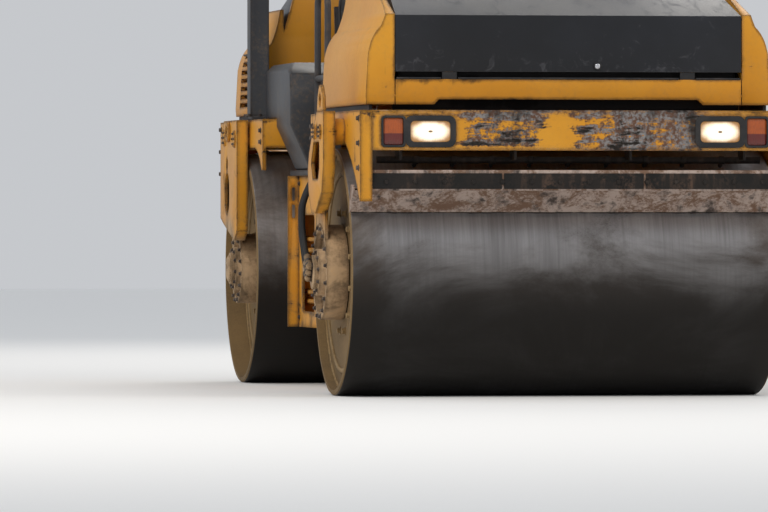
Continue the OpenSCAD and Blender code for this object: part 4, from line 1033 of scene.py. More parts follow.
@dataclass
class BumperTrim:
    """Lenses and bolts of an end's beam, band, bolts and edge of its scraper, and its spray bar's nozzles."""

    end: End
    finishes: "Finishes"
    face: float = 0.83
    lamp_z: float = 1.296
    headlamp: LensShape = LensShape(0.715, 0.196, 0.102, 0.022)
    marker: LensShape = LensShape(0.897, 0.098, 0.131, 0.012)
    bracket_x: float = 1.06
    band_face: float = 0.80
    band_z: Tuple[float, float] = (1.018, 1.094)
    blade_half: float = 1.062
    blade_u: float = 0.5555
    blade_z: float = 0.905
    spray_u: float = 0.64
    spray_z: float = 1.16
    nozzle_pitch: float = 0.19
    nozzle_degrees: float = 125.0

    def build(self) -> None:
        """Adds the lenses, the bolts, the scraper's pieces and the nozzles."""
        self._lens("headlamps", self.headlamp, self.finishes.headlamp)
        self._lens("markers", self.marker, self.finishes.marker)
        self._bolts()
        self._scraper_bolts()
        self._band()
        self._edge()
        self._nozzles()

    def _lens(self, word: str, shape: LensShape, material: bpy.types.Material) -> None:
        """Two moulded lenses for the CAD ones, crowned by 5 mm, with rounded corners.

        At radius r from 0 to 1 and angle a, the point is r times the rounded rectangle's edge at a, and the
        crown is 1 - r to the fourth power. The last two rings are the lens's back.

        Args:
            word: what the CAD node's name says after the end's.
            shape: place and size.
            material: the lens's finish.
        """
        crown_height, back, inset, sides = 0.005, -0.034, 0.006, 64
        angle = np.linspace(0.0, 2.0 * math.pi, sides, endpoint=False)
        cos, sin = np.cos(angle), np.sin(angle)
        power = 2.0 + 10.0 * (1.0 - shape.corner / (shape.height / 2))
        edge = (np.abs(cos) ** power + np.abs(sin) ** power) ** (-1.0 / power)
        radius = np.array([0.02, 0.3, 0.55, 0.75, 0.88, 0.95, 1.0, 1.0, 0.02])[:, None]
        rings = len(radius)
        crown = np.where(np.arange(rings)[:, None] < rings - 2, crown_height * (1.0 - radius ** 4), back)
        across, upward = radius * edge * cos * shape.width / 2, radius * edge * sin * shape.height / 2
        faces = grid_faces(rings, sides, False, True).tolist()
        faces += [list(range(sides))[::-1], list(range((rings - 1) * sides, rings * sides))]
        parts = []
        for sign in SIDES:
            points = np.stack([sign * shape.x + across, -(self.face - inset + crown) + 0 * across,
                               self.lamp_z + upward], axis=-1).reshape(-1, 3)
            parts.append((points, faces))
        piece = joined("%s_%s_moulded" % (self.end.label, word), self.end.placed(parts))
        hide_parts("%s_%s" % (self.end.label, word))
        ride_as(piece, self.end.body, material)

    def _bolts(self) -> None:
        """Bolts through the brackets that hold the beam, three in front of the drum and two behind it."""
        spots = [(sign * self.bracket_x, u, z) for sign in SIDES for u, z in
                 ((0.79, 1.36), (0.79, 1.24), (0.79, 1.12), (-0.70, 1.34), (-0.70, 1.28))]
        normals = [self.end.turn(math.copysign(1.0, s[0]), 0.0, 0.0) for s in spots]
        heads = hex_heads(self.end.label + "_rail_bolts", [self.end.at(*s) for s in spots], normals,
                          across=0.024, height=0.014)
        ride_as(heads, self.end.body, self.finishes.bolt)

    def _scraper_bolts(self) -> None:
        """Bolts along the scraper's band."""
        reach, count, out, z = 0.93, 14, 0.005, 1.052
        spots = [self.end.at(x, self.band_face + out, z) for x in np.linspace(-reach, reach, count)]
        heads = hex_heads(self.end.label + "_scraper_bolts", spots, [self.end.turn(0.0, 1.0, 0.0)],
                          across=0.022, height=0.012)
        ride_as(heads, self.end.body, self.finishes.dark_steel)

    def _band(self) -> None:
        """The scraper's dark band, in three strips with 10 mm between them."""
        thick, (low, high) = 0.011, self.band_z
        strips = [block_arrays(self.end.at(start, self.band_face, low),
                               self.end.at(stop, self.band_face + thick, high))
                  for start, stop in ((-1.03, -0.36), (-0.35, 0.34), (0.35, 1.03))]
        band = bevelled(joined(self.end.label + "_scraper_band", strips), 0.003)
        ride_as(band, self.end.body, self.finishes.band)

    def _edge(self) -> None:
        """The blade's worn edge: a bead whose height waves by 1.5 mm slowly and 1 mm quickly along x."""
        count, radius = 80, 0.005
        slow, quick = np.sin(np.linspace(0.0, 38.0, count)), np.sin(np.linspace(1.0, 171.0, count))
        path = np.stack([np.linspace(-self.blade_half, self.blade_half, count), np.full(count, -self.blade_u),
                         self.blade_z + 0.0015 * slow + 0.001 * quick + 0.001], axis=1)
        bead = swept_arrays(path, circle(radius, 8), Z)
        edge = joined(self.end.label + "_scraper_edge", self.end.placed([bead]))
        ride_as(edge, self.end.body, self.finishes.dark_steel)

    def _nozzles(self) -> None:
        """A tip and a clamp ring for each of the spray bar's nine nozzles."""
        lean = math.radians(self.nozzle_degrees)
        axis = np.array([0.0, math.sin(lean), math.cos(lean)])
        tip_size = np.array([1.0, 1.0, 0.8, 0.8, 0.55, 0.35])
        ring_size = np.array([0.95, 1.0, 1.0, 1.0, 0.95])
        parts = []
        for i in range(-4, 5):
            x = i * self.nozzle_pitch
            centre = np.array([x, -self.spray_u, self.spray_z]) + axis * 0.045
            parts.append(swept_arrays(centre + axis * np.linspace(-0.006, 0.014, 6)[:, None],
                                      circle(0.012, 10), X, tip_size))
            ring = straight((x - 0.014, -self.spray_u, self.spray_z),
                            (x + 0.014, -self.spray_u, self.spray_z), 4)
            parts.append(swept_arrays(ring, circle(0.0205, 16), Z, ring_size))
        piece = joined(self.end.label + "_nozzles", self.end.placed(parts))
        ride_as(piece, self.end.body, self.finishes.dark_steel)


@dataclass
class Plumbing:
    """Drive hoses of an end, which are free between the collars on the rail and the sleeves on the motor.

    Places are given about the drum as (x, -u, z). The motor's ports stand in a row that is tilted from the
    upright, and each hose leaves its elbow along the same tilt.
    """

    end: End
    finishes: "Finishes"
    diameter: float = 0.024
    pitch: float = 0.040
    first: float = 0.110
    port_pitch: float = 0.036
    port_x: float = -1.186
    tilt: float = math.radians(55.0)
    collar_x: float = -1.086
    collar_z: float = 1.245
    sleeve_end: float = 0.084
    block: Tuple[Point, Point] = ((-1.1126, -0.2156, 1.2744), (-1.06, -0.0844, 1.3096))

    def port(self, index: int) -> np.ndarray:
        """Where one hose's elbow stands on the motor."""
        step = (1 - index) * self.port_pitch
        return np.array([self.port_x, -step * math.cos(self.tilt), DRUM_RADIUS + step * math.sin(self.tilt)])

    def route(self, index: int) -> np.ndarray:
        """Points of one hose: two cubic curves with a common middle point and a straight lead at each end."""
        way = np.array([0.0, math.sin(self.tilt), math.cos(self.tilt)])
        back = self.first + index * self.pitch
        collar = np.array([self.collar_x, back, self.collar_z])
        middle = np.array([-1.191, back + 0.048, 0.90])
        mouth = self.port(index) + self.sleeve_end * way
        lead = 0.006
        fall = np.array([0.0, 0.0, -0.360])
        upper = hermite(collar - np.array([0.0, 0.0, lead]), np.array([0.0, 0.0, -0.370]), middle, fall, 16)
        lower = hermite(middle, fall, mouth + lead * way, -0.200 * way, 16)
        return np.concatenate([collar[None], upper, lower, [mouth + lead * way, mouth]])

    def build(self) -> None:
        """Adds the hoses, the collars above them, the sleeves and elbows below, and the block on the rail."""
        collars, elbows = [], []
        for index in range(3):
            route = self.route(index)
            self._hose(index, self.end.place(route))
            collars += self._collar(route[0])
            elbows += self._elbow(index, route[-1])
        block = joined(self.end.label + "_hose_block", [block_arrays(*(self.end.at(*c) for c in self.block))])
        ride_as(bevelled(block, 0.003), self.end.body, self.finishes.dark_steel)
        for word, parts in (("collars", collars), ("elbows", elbows)):
            piece = joined("%s_hose_%s" % (self.end.label, word), self.end.placed(parts))
            ride_as(bevelled(piece, 0.0007, 1), self.end.body, self.finishes.fitting)

    def _hose(self, index: int, path: np.ndarray) -> None:
        points, faces = swept_arrays(path, circle(self.diameter / 2, 16), X)
        hose = mesh_object("%s_drive_hose_%d" % (self.end.label, index), points, faces)
        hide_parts(self.end.label + "_hoses")
        ride_as(hose, self.end.body, self.finishes.hose)

    @staticmethod
    def _rod(path: Any, sides: int, radii: Sequence[float]) -> Part:
        """Points and faces of a round or many-sided rod along a path, with a radius for each point."""
        return swept_arrays(np.array(path, float), circle(1.0, sides), X, np.array(radii))

    def _collar(self, top: np.ndarray) -> List[Part]:
        """A hexagon nut below the block and a round shoulder round the hose."""
        nut = [top + np.array([0.0, 0.0, z]) for z in (0.031, 0.010)]
        shoulder = [top + np.array([0.0, 0.0, z]) for z in (0.012, 0.002, 0.0)]
        return [self._rod(nut, 6, (0.0202, 0.0202)), self._rod(shoulder, 16, (0.0172, 0.0172, 0.0160))]

    def _elbow(self, index: int, mouth: np.ndarray) -> List[Part]:
        """A port adapter, a bent pipe with its nut, and a sleeve crimped in three rings."""
        pipe, crimp = 0.0172, 0.0160
        port = self.port(index)
        way = (mouth - port) / np.linalg.norm(mouth - port)
        out = np.array([-1.0, 0.0, 0.0])
        bend = smooth_path([port - 0.020 * out, port - 0.008 * out, port + 0.004 * way, port + 0.020 * way,
                            port + 0.036 * way], 5)
        nut = [port + d * way for d in (0.030, 0.048)]
        at = np.array([0.044, 0.048, 0.052, 0.056, 0.060, 0.064, 0.068, 0.072, 0.078, self.sleeve_end])
        rings = (0.0150, pipe, pipe, crimp, pipe, pipe, crimp, pipe, pipe, 0.0150)
        adapter = swept_arrays(np.array([port - 0.0175 * out, port - 0.009 * out]), circle(0.0200, 6), Z)
        return [adapter, self._rod(bend, 14, [pipe] * len(bend)), self._rod(nut, 6, (0.0198, 0.0198)),
                self._rod(port + at[:, None] * way, 16, rings)]


def lathe_arrays(profile: Profile, origin: Point, direction: Point,
                 count: int = 24) -> Part:
    """Points and faces of a closed profile turned about any axis.

    Point (i, j) is origin + profile[j, 0] * direction + profile[j, 1] * (cos a[i] side + sin a[i] up), where
    side and up are square to the direction.
    """
    axis = np.array(direction, float) / np.linalg.norm(direction)
    hint = np.array(X if abs(axis[0]) < 0.8 else Z)
    side = np.cross(axis, hint)
    side /= np.linalg.norm(side)
    up = np.cross(axis, side)
    outline = np.array(profile, float)
    angle = np.linspace(0.0, 2.0 * math.pi, count, endpoint=False)[:, None, None]
    radial = np.cos(angle) * side + np.sin(angle) * up
    points = np.array(origin) + outline[None, :, :1] * axis + outline[None, :, 1:] * radial
    return points.reshape(-1, 3), grid_faces(count, len(outline), True, True).tolist()


def cushion_block(low: Point, high: Point, power: float = 5.0, count: int = 40) -> Part:
    """Points and faces of a rounded block between two corners.

    A sphere's direction d is scaled to length (|dx|^p + |dy|^p + |dz|^p)^(-1/p), a superellipsoid of power p,
    and stretched to the block's half sizes.
    """
    pole = math.pi / 2 - 0.02
    lat = np.linspace(-pole, pole, count)[:, None]
    lon = np.linspace(0.0, 2.0 * math.pi, 2 * count, endpoint=False)[None, :]
    ball = np.stack([np.cos(lat) * np.cos(lon), np.cos(lat) * np.sin(lon), np.sin(lat) + 0 * lon], axis=-1)
    reach = (np.abs(ball) ** power).sum(axis=-1, keepdims=True) ** (-1.0 / power)
    half = (np.array(high) - np.array(low)) / 2
    points = (np.array(low) + half + ball * reach * half).reshape(-1, 3)
    columns = 2 * count
    faces = grid_faces(count, columns, False, True).tolist()
    faces += [list(range(columns))[::-1], list(range((count - 1) * columns, count * columns))]
    return points, faces


def vertex_places(piece: bpy.types.Object) -> np.ndarray:
    """The places of a piece's own vertices, as an array of n by 3."""
    places = np.zeros(3 * len(piece.data.vertices))
    piece.data.vertices.foreach_get("co", places)
    return places.reshape(-1, 3)


@dataclass
class Padding:
    """One upholstered pad: blown up by cloth simulation, then creased along its sewn channels and piped.

    The pad is drawn upright about its own origin, x across, y deep and z tall, and then tilted and moved.
    face_axis and face_sign say which of its sides is sat on or leant on.
    """

    name: str
    size: Tuple[float, float, float]
    corner: Point
    tilt: float
    body: str
    face_axis: int
    face_sign: float
    cap: float = 0.014
    skin: float = 0.006
    quick_skin: float = 0.008
    pressure: float = 4.0
    blowing_frames: int = 20
    channel: float = 0.007
    piping: float = 0.0042

    def build(self, leather: bpy.types.Material, beading: bpy.types.Material,
              node: Optional[str]) -> bpy.types.Object:
        """Makes the pad and its piping.

        Args:
            leather: the pad's finish.
            beading: the finish of the piping round its edge.
            node: CAD node that the pad stands for.

        Returns:
            The pad.
        """
        shrink = 0.010
        low, high = (shrink,) * 3, tuple(s - shrink for s in self.size)
        points, faces = cushion_block(low, high, 7.0, 26)
        pad = mesh_object(self.name, points, faces)
        start = self._remeshed(pad, self.skin)
        self._blow_up(pad, start)
        self._crease(pad)
        subdivide = pad.modifiers.new("smooth_cover", "SUBSURF")
        subdivide.levels = subdivide.render_levels = 1
        belt = self._belt(pad)
        self._settle(pad)
        pad.data.polygons.foreach_set("use_smooth", np.ones(len(pad.data.polygons), bool))
        if node:
            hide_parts(node)
        ride_as(pad, self.body, leather)
        cord = swept(self.name + "_piping", self._moved(belt), circle(self.piping, 8), self._hint())
        ride_as(cord, self.body, beading)
        return pad

    @staticmethod
    def _remeshed(pad: bpy.types.Object, voxel: float) -> np.ndarray:
        """Gives the pad an even skin of small quads and returns its points."""
        remesh = pad.modifiers.new("skin", "REMESH")
        remesh.mode = "VOXEL"
        remesh.voxel_size = voxel
        shape = bpy.data.meshes.new_from_object(pad.evaluated_get(bpy.context.evaluated_depsgraph_get()))
        pad.modifiers.clear()
        pad.data = shape
        return vertex_places(pad)

    def _blow_up(self, pad: bpy.types.Object, start: np.ndarray) -> None:
        """Inflates the pad for some frames and keeps each point within the cap of where it started."""
        margin, tiny = 0.0005, 1e-9
        cloth = pad.modifiers.new("cloth", "CLOTH")
        cloth.settings.quality = 4
        cloth.settings.mass = 0.3
        cloth.settings.use_pressure = True
        cloth.settings.uniform_pressure_force = self.pressure
        cloth.settings.effector_weights.gravity = 0.0
        scene = bpy.context.scene
        for number in range(1, self.blowing_frames + 1):
            scene.frame_set(number)
        shape = pad.evaluated_get(bpy.context.evaluated_depsgraph_get()).to_mesh()
        blown = np.zeros(3 * len(shape.vertices))
        shape.vertices.foreach_get("co", blown)
        pad.evaluated_get(bpy.context.evaluated_depsgraph_get()).to_mesh_clear()
        pad.modifiers.clear()
        move = blown.reshape(-1, 3) - start
        reach = np.linalg.norm(move, axis=1, keepdims=True)
        moved = start + move * np.minimum(1.0, self.cap / np.maximum(reach, tiny))
        moved = np.clip(moved, margin, np.array(self.size) - margin)
        pad.data.vertices.foreach_set("co", moved.ravel())
        scene.frame_set(1)

    @property
    def _tall(self) -> int:
        """The axis that runs up the pad's face, beside x."""
        return 2 if self.face_axis == 1 else 1

    def _crease(self, pad: bpy.types.Object) -> None:
        """Presses sewn channels and a shallow hollow into the pad's face.

        Two channels 6 mm deep run up the face and two of 5 mm across its middle. Each sinks a point by its
        depth times exp(-(distance / 7 mm)²). The hollow is 6 mm deep in the middle and falls off with the
        fourth power of the distance to the pad's edge.
        """
        points = vertex_places(pad)
        tall = self._tall
        rel = (points / np.array(self.size) - 0.5) * 2.0
        facing = np.clip(rel[:, self.face_axis] * self.face_sign * 1.6 - 0.4, 0.0, 1.0)
        groove = sum(np.exp(-((points[:, 0] - self.size[0] * share) / self.channel) ** 2)
                     for share in (0.27, 0.73))
        seams = sum(np.exp(-((points[:, tall] - self.size[tall] * share) / self.channel) ** 2) *
                    (np.abs(rel[:, 0]) < 0.44) for share in (0.36, 0.64))
        hollow = (1.0 - rel[:, 0] ** 4) * (1.0 - rel[:, tall] ** 4)
        depth = facing * (0.006 * groove + 0.005 * seams + 0.006 * np.clip(hollow, 0.0, 1.0))
        points[:, self.face_axis] -= self.face_sign * depth
        pad.data.vertices.foreach_set("co", points.ravel())

    def _belt(self, pad: bpy.types.Object) -> np.ndarray:
        """Closed line of points round the pad near its face, worked out from its own surface.

        Of the points within 9 mm of the line's level, the outermost in each of 64 directions is kept, and
        each of those is then averaged with its neighbours by weights 1, 2 and 1.
        """
        directions = 64
        points, tall, size = vertex_places(pad), self._tall, np.array(self.size)
        level = size[self.face_axis] * (0.5 + self.face_sign * 0.28)
        near = points[np.abs(points[:, self.face_axis] - level) < 0.009]
        flat = near[:, [0, tall]] - size[[0, tall]] / 2
        angle = np.arctan2(flat[:, 1] / size[tall], flat[:, 0] / size[0])
        which = np.digitize(angle, np.linspace(-math.pi, math.pi, directions + 1)) - 1
        reach = np.hypot(flat[:, 0], flat[:, 1])
        ring = []
        for k in range(directions):
            mine = np.flatnonzero(which == k)
            if len(mine):
                ring.append(flat[mine[np.argmax(reach[mine])]])
        outer = np.array(ring)
        outer = (np.roll(outer, 1, 0) + 2 * outer + np.roll(outer, -1, 0)) / 4
        belt = np.full((len(outer) + 1, 3), level)
        belt[:, [0, tall]] = np.concatenate([outer, outer[:1]]) + size[[0, tall]] / 2
        return belt

    def _hint(self) -> Point:
        """Direction that the piping's frames lean on."""
        return (0.0, 1.0, 0.1) if self.face_axis == 1 else (0.0, 0.1, 1.0)

    def _moved(self, points: np.ndarray) -> np.ndarray:
        """Points tilted back about the pad's lower front edge and moved to its corner."""
        return points @ tilted(self.tilt).T + np.array(self.corner)

    def _settle(self, pad: bpy.types.Object) -> None:
        """Moves the pad's own points to its place on the seat."""
        pad.data.vertices.foreach_set("co", self._moved(vertex_places(pad)).ravel())
        pad.data.update()


def tilted(degrees: float) -> np.ndarray:
    """Matrix that turns about X by an angle, so that +Z leans towards +Y."""
    a = math.radians(degrees)
    return np.array([[1, 0, 0], [0, math.cos(a), math.sin(a)], [0, -math.sin(a), math.cos(a)]])


@dataclass
class Station:
    """The driving place: seat, dials, lever, wheel, floor mat, rails, steps and roof."""

    finishes: "Finishes"
    body: str = "rear_half"
    floor: float = 1.13
    seat: Point = (-0.43, 0.64, 1.50)
    column_foot: Point = (-0.43, -0.06, 1.13)
    column_tilt: float = 25.0
    wheel_radius: float = 0.176
    wheel_rise: float = 0.81
    mat_half_width: float = 0.62
    mat_back: Tuple[float, float] = (-0.18, 0.30)
    stud_pitch: float = 0.045
    rail_x: float = 0.86
    rail_y: Tuple[float, float] = (-0.11, 0.23)
    post_x: float = 1.015
    post_foot: float = 1.42
    step_x: float = 0.88
    roof_under: float = 2.93
    roof_lip: float = 2.871

    def build(self) -> None:
        """Adds every piece of the station."""
        self._seat()
        self._grip()
        self._wheel_cap()
        self._dials()
        self._rockers()
        self._lever()
        self._mat()
        self._flanges()
        self._step_bolts()
        self._roof()

    def _along(self, x: float, y: float, z: float) -> np.ndarray:
        """A point given about the steering column's foot, turned with the column."""
        return self._direction(x, y, z) + np.array(self.column_foot)

    def _direction(self, x: float, y: float, z: float) -> np.ndarray:
        """A direction turned with the column."""
        return tilted(self.column_tilt) @ np.array([x, y, z])

    def _add(self, piece: bpy.types.Object, finish: bpy.types.Material, slot: str) -> None:
        """Puts a piece on the station's body."""
        ride_as(piece, self.body, finish)

    def _seat(self) -> None:
        """The cushion and the backrest, with foam armrests."""
        f = self.finishes
        x, y, z = self.seat
        cushion, back = (0.470, 0.450, 0.110), (0.460, 0.090, 0.600)
        Padding("seat_cushion", cushion, (x - cushion[0] / 2, y - 0.25, z), tilt=0.0, body=self.body,
                face_axis=2, face_sign=1.0).build(f.vinyl, f.rubber, "seat")
        Padding("seat_back", back, (x - back[0] / 2, y + 0.2003, z + 0.02), tilt=10.0, body=self.body,
                face_axis=1, face_sign=-1.0).build(f.vinyl, f.rubber, None)
        rests = [cushion_block((x + dx, y - 0.165, z + 0.214), (x + dx + 0.05, y + 0.185, z + 0.25), 4.0, 14)
                 for dx in (-0.29, 0.24)]
        pad = joined("armrest_pads", rests)
        self._add(pad, f.vinyl, "seat_vinyl")

    def _grip(self) -> None:
        """Grip sleeve with finger hollows on the steering wheel's rim.

        The sleeve's radius at angle a round the wheel and b round the sleeve is 14.8 mm, and on the inner
        side, where cos b is under 0.2, 0.9 mm times the size of cos 16a more.
        """
        count, sides = 192, 16
        a = np.linspace(0.0, 2.0 * math.pi, count, endpoint=False)[:, None]
        b = np.linspace(0.0, 2.0 * math.pi, sides, endpoint=False)[None, :]
        thick = 0.0148 + 0.0009 * np.abs(np.cos(16.0 * a)) * (np.cos(b) < 0.2)
        reach = self.wheel_radius + thick * np.cos(b)
        local = np.stack([reach * np.cos(a), reach * np.sin(a), self.wheel_rise + thick * np.sin(b)], axis=-1)
        points = local.reshape(-1, 3) @ tilted(self.column_tilt).T + np.array(self.column_foot)
        grip = mesh_object("wheel_grip", points, grid_faces(count, sides, True, True))
        ride_as(grip, "steering_wheel", self.finishes.rubber)

    def _wheel_cap(self) -> None:
        """Round cap over the steering wheel's hub."""
        cap = ((0.817, 0.001), (0.817, 0.044), (0.822, 0.043), (0.829, 0.034), (0.832, 0.016), (0.832, 0.001))
        hub = joined("wheel_cap", [lathe_arrays(cap, self._along(0, 0, 0), self._direction(0, 0, 1), 32)])
        ride_as(hub, "steering_wheel", self.finishes.vinyl)

    def _dials(self) -> None:
        """Three dials with bezels on the column's head, which leans back from the column."""
        normal = self._direction(0.0, 0.385, 0.923)
        bezels, faces = [], []
        for x, radius in ((0.0, 0.036), (-0.095, 0.028), (0.095, 0.028)):
            origin = self._along(x, 0.022, 0.694)
            bezel = ((-0.004, radius), (0.008, radius), (0.010, radius - 0.003), (0.006, radius - 0.006),
                     (-0.004, radius - 0.006))
            face = ((-0.003, 0.001), (-0.003, radius - 0.005), (0.003, radius - 0.005), (0.003, 0.001))
            bezels.append(lathe_arrays(bezel, origin, normal, 40))
            faces.append(lathe_arrays(face, origin, normal, 40))
        self._add(joined("dial_bezels", bezels), self.finishes.rubber, "rubber")
        self._add(joined("dial_faces", faces), self.finishes.dial, "black_paint")

    def _rockers(self) -> None:
        """A row of five rocker switches above the dials."""
        half, pitch = np.array([0.010, 0.012, 0.010]), 0.06
        rockers = []
        for i in range(5):
            centre = self._along(-0.12 + pitch * i, 0.074, 0.675)
            rockers.append(block_arrays(centre - half, centre + half))
        self._add(bevelled(joined("rocker_switches", rockers), 0.002), self.finishes.rubber, "rubber")

    def _lever(self) -> None:
        """The travel lever with its rubber boot and knob."""
        foot = self._along(0.168, 0.02, 0.60)
        top = foot + np.array([0.055, 0.03, 0.19])
        stem = smooth_path([foot - np.array([0.015, 0, 0]), foot + np.array([0.03, 0.0, 0.02]),
                            foot + np.array([0.048, 0.01, 0.09]), top], 6)
        self._add(swept("travel_lever", stem, circle(0.007, 12), Y), self.finishes.chrome, "black_paint")
        knob = ((-0.024, 0.001), (-0.024, 0.010), (-0.012, 0.018), (0.004, 0.022), (0.018, 0.019),
                (0.026, 0.010), (0.028, 0.001))
        boot = ((0.0, 0.001), (0.0, 0.032), (0.010, 0.030), (0.012, 0.024), (0.020, 0.025), (0.022, 0.018),
                (0.030, 0.019), (0.032, 0.010), (0.040, 0.008), (0.040, 0.001))
        parts = [lathe_arrays(knob, top, (0.25, 0.12, 1.0), 28),
                 lathe_arrays(boot, foot - np.array([0.002, 0, 0]), (1.0, 0.0, 0.35), 28)]
        self._add(joined("lever_rubber", parts), self.finishes.rubber, "rubber")

    def _mat(self) -> None:
        """Rubber mat on the floor with rows of round studs, each a low cone with eight sides."""
        half, (front, back), top = self.mat_half_width, self.mat_back, self.floor + 0.006
        xs = np.arange(-half + 0.03, half - 0.02, self.stud_pitch)
        ys = np.arange(front + 0.025, back - 0.01, self.stud_pitch)
        stud = ((-0.001, 0.002), (-0.001, 0.013), (0.0028, 0.010), (0.0028, 0.002))
        parts = [block_arrays((-half, front, self.floor + 0.0005), (half, back, top))]
        parts += [lathe_arrays(stud, (x, y, top), Z, 8) for y in ys for x in xs]
        self._add(joined("floor_mat", parts), self.finishes.rubber, "rubber")

    def _flanges(self) -> None:
        """Flanges under the handrails, and the bolts on them and on the posts' feet."""
        rise, screw_circle = 0.009, 0.029
        profile = ((0.0003, 0.002), (0.0003, 0.040), (0.007, 0.040), (rise, 0.037), (rise, 0.002))
        flanges, spots = [], []
        for x in (-self.rail_x, self.rail_x):
            for y in self.rail_y:
                flanges.append(lathe_arrays(profile, (x, y, self.floor), Z, 28))
                spots += [(x + dx, y + dy, self.floor + rise) for dx, dy in circle(screw_circle, 4, 45.0)]
        for x in (-self.post_x, self.post_x):
            spots += [(x - 0.058, y, self.post_foot) for y in (1.24, 1.31, 1.38)]
            spots += [(x, y, self.post_foot) for y in (1.241, 1.379)]
        self._add(joined("rail_flanges", flanges), self.finishes.grey, "black_paint")
        heads = hex_heads("station_bolts", spots, [Z], across=0.020, height=0.012)
        self._add(heads, self.finishes.bolt, "black_paint")

    def _step_bolts(self) -> None:
        """Bolts on the outer faces of the step boxes."""
        spots = [(sign * self.step_x, y, z) for sign in SIDES for y, z in
                 ((0.06, 1.06), (0.72, 1.06), (0.06, 0.36), (0.72, 0.36), (0.13, 0.93), (0.69, 0.93))]
        normals = [(math.copysign(1.0, s[0]), 0.0, 0.0) for s in spots]
        heads = hex_heads("step_bolts", spots, normals, across=0.020, height=0.012)
        self._add(heads, self.finishes.bolt, "yellow_paint")

    def _roof(self) -> None:
        """Pressed ribs under the roof, and the bolts along its lips."""
        half, z = 0.86, self.roof_under
        channel = np.array([[-0.035, 0.001], [-0.022, -0.022], [0.022, -0.022], [0.035, 0.001]])
        ribs = [swept_arrays(straight((-half, y, z), (half, y, z), 2), channel, Z)
                for y in (-0.16, 0.12, 0.40, 0.68, 0.96)]
        self._add(bevelled(joined("roof_ribs", ribs, smooth=False), 0.004), self.finishes.grey, "black_paint")
        spots = [(sign * self.post_x, y, self.roof_lip) for sign in SIDES for y in (0.05, 0.35, 0.65, 0.95)]
        heads = hex_heads("roof_bolts", spots, [(0.0, 0.0, -1.0)], across=0.022, height=0.012)
        self._add(heads, self.finishes.bolt, "black_paint")


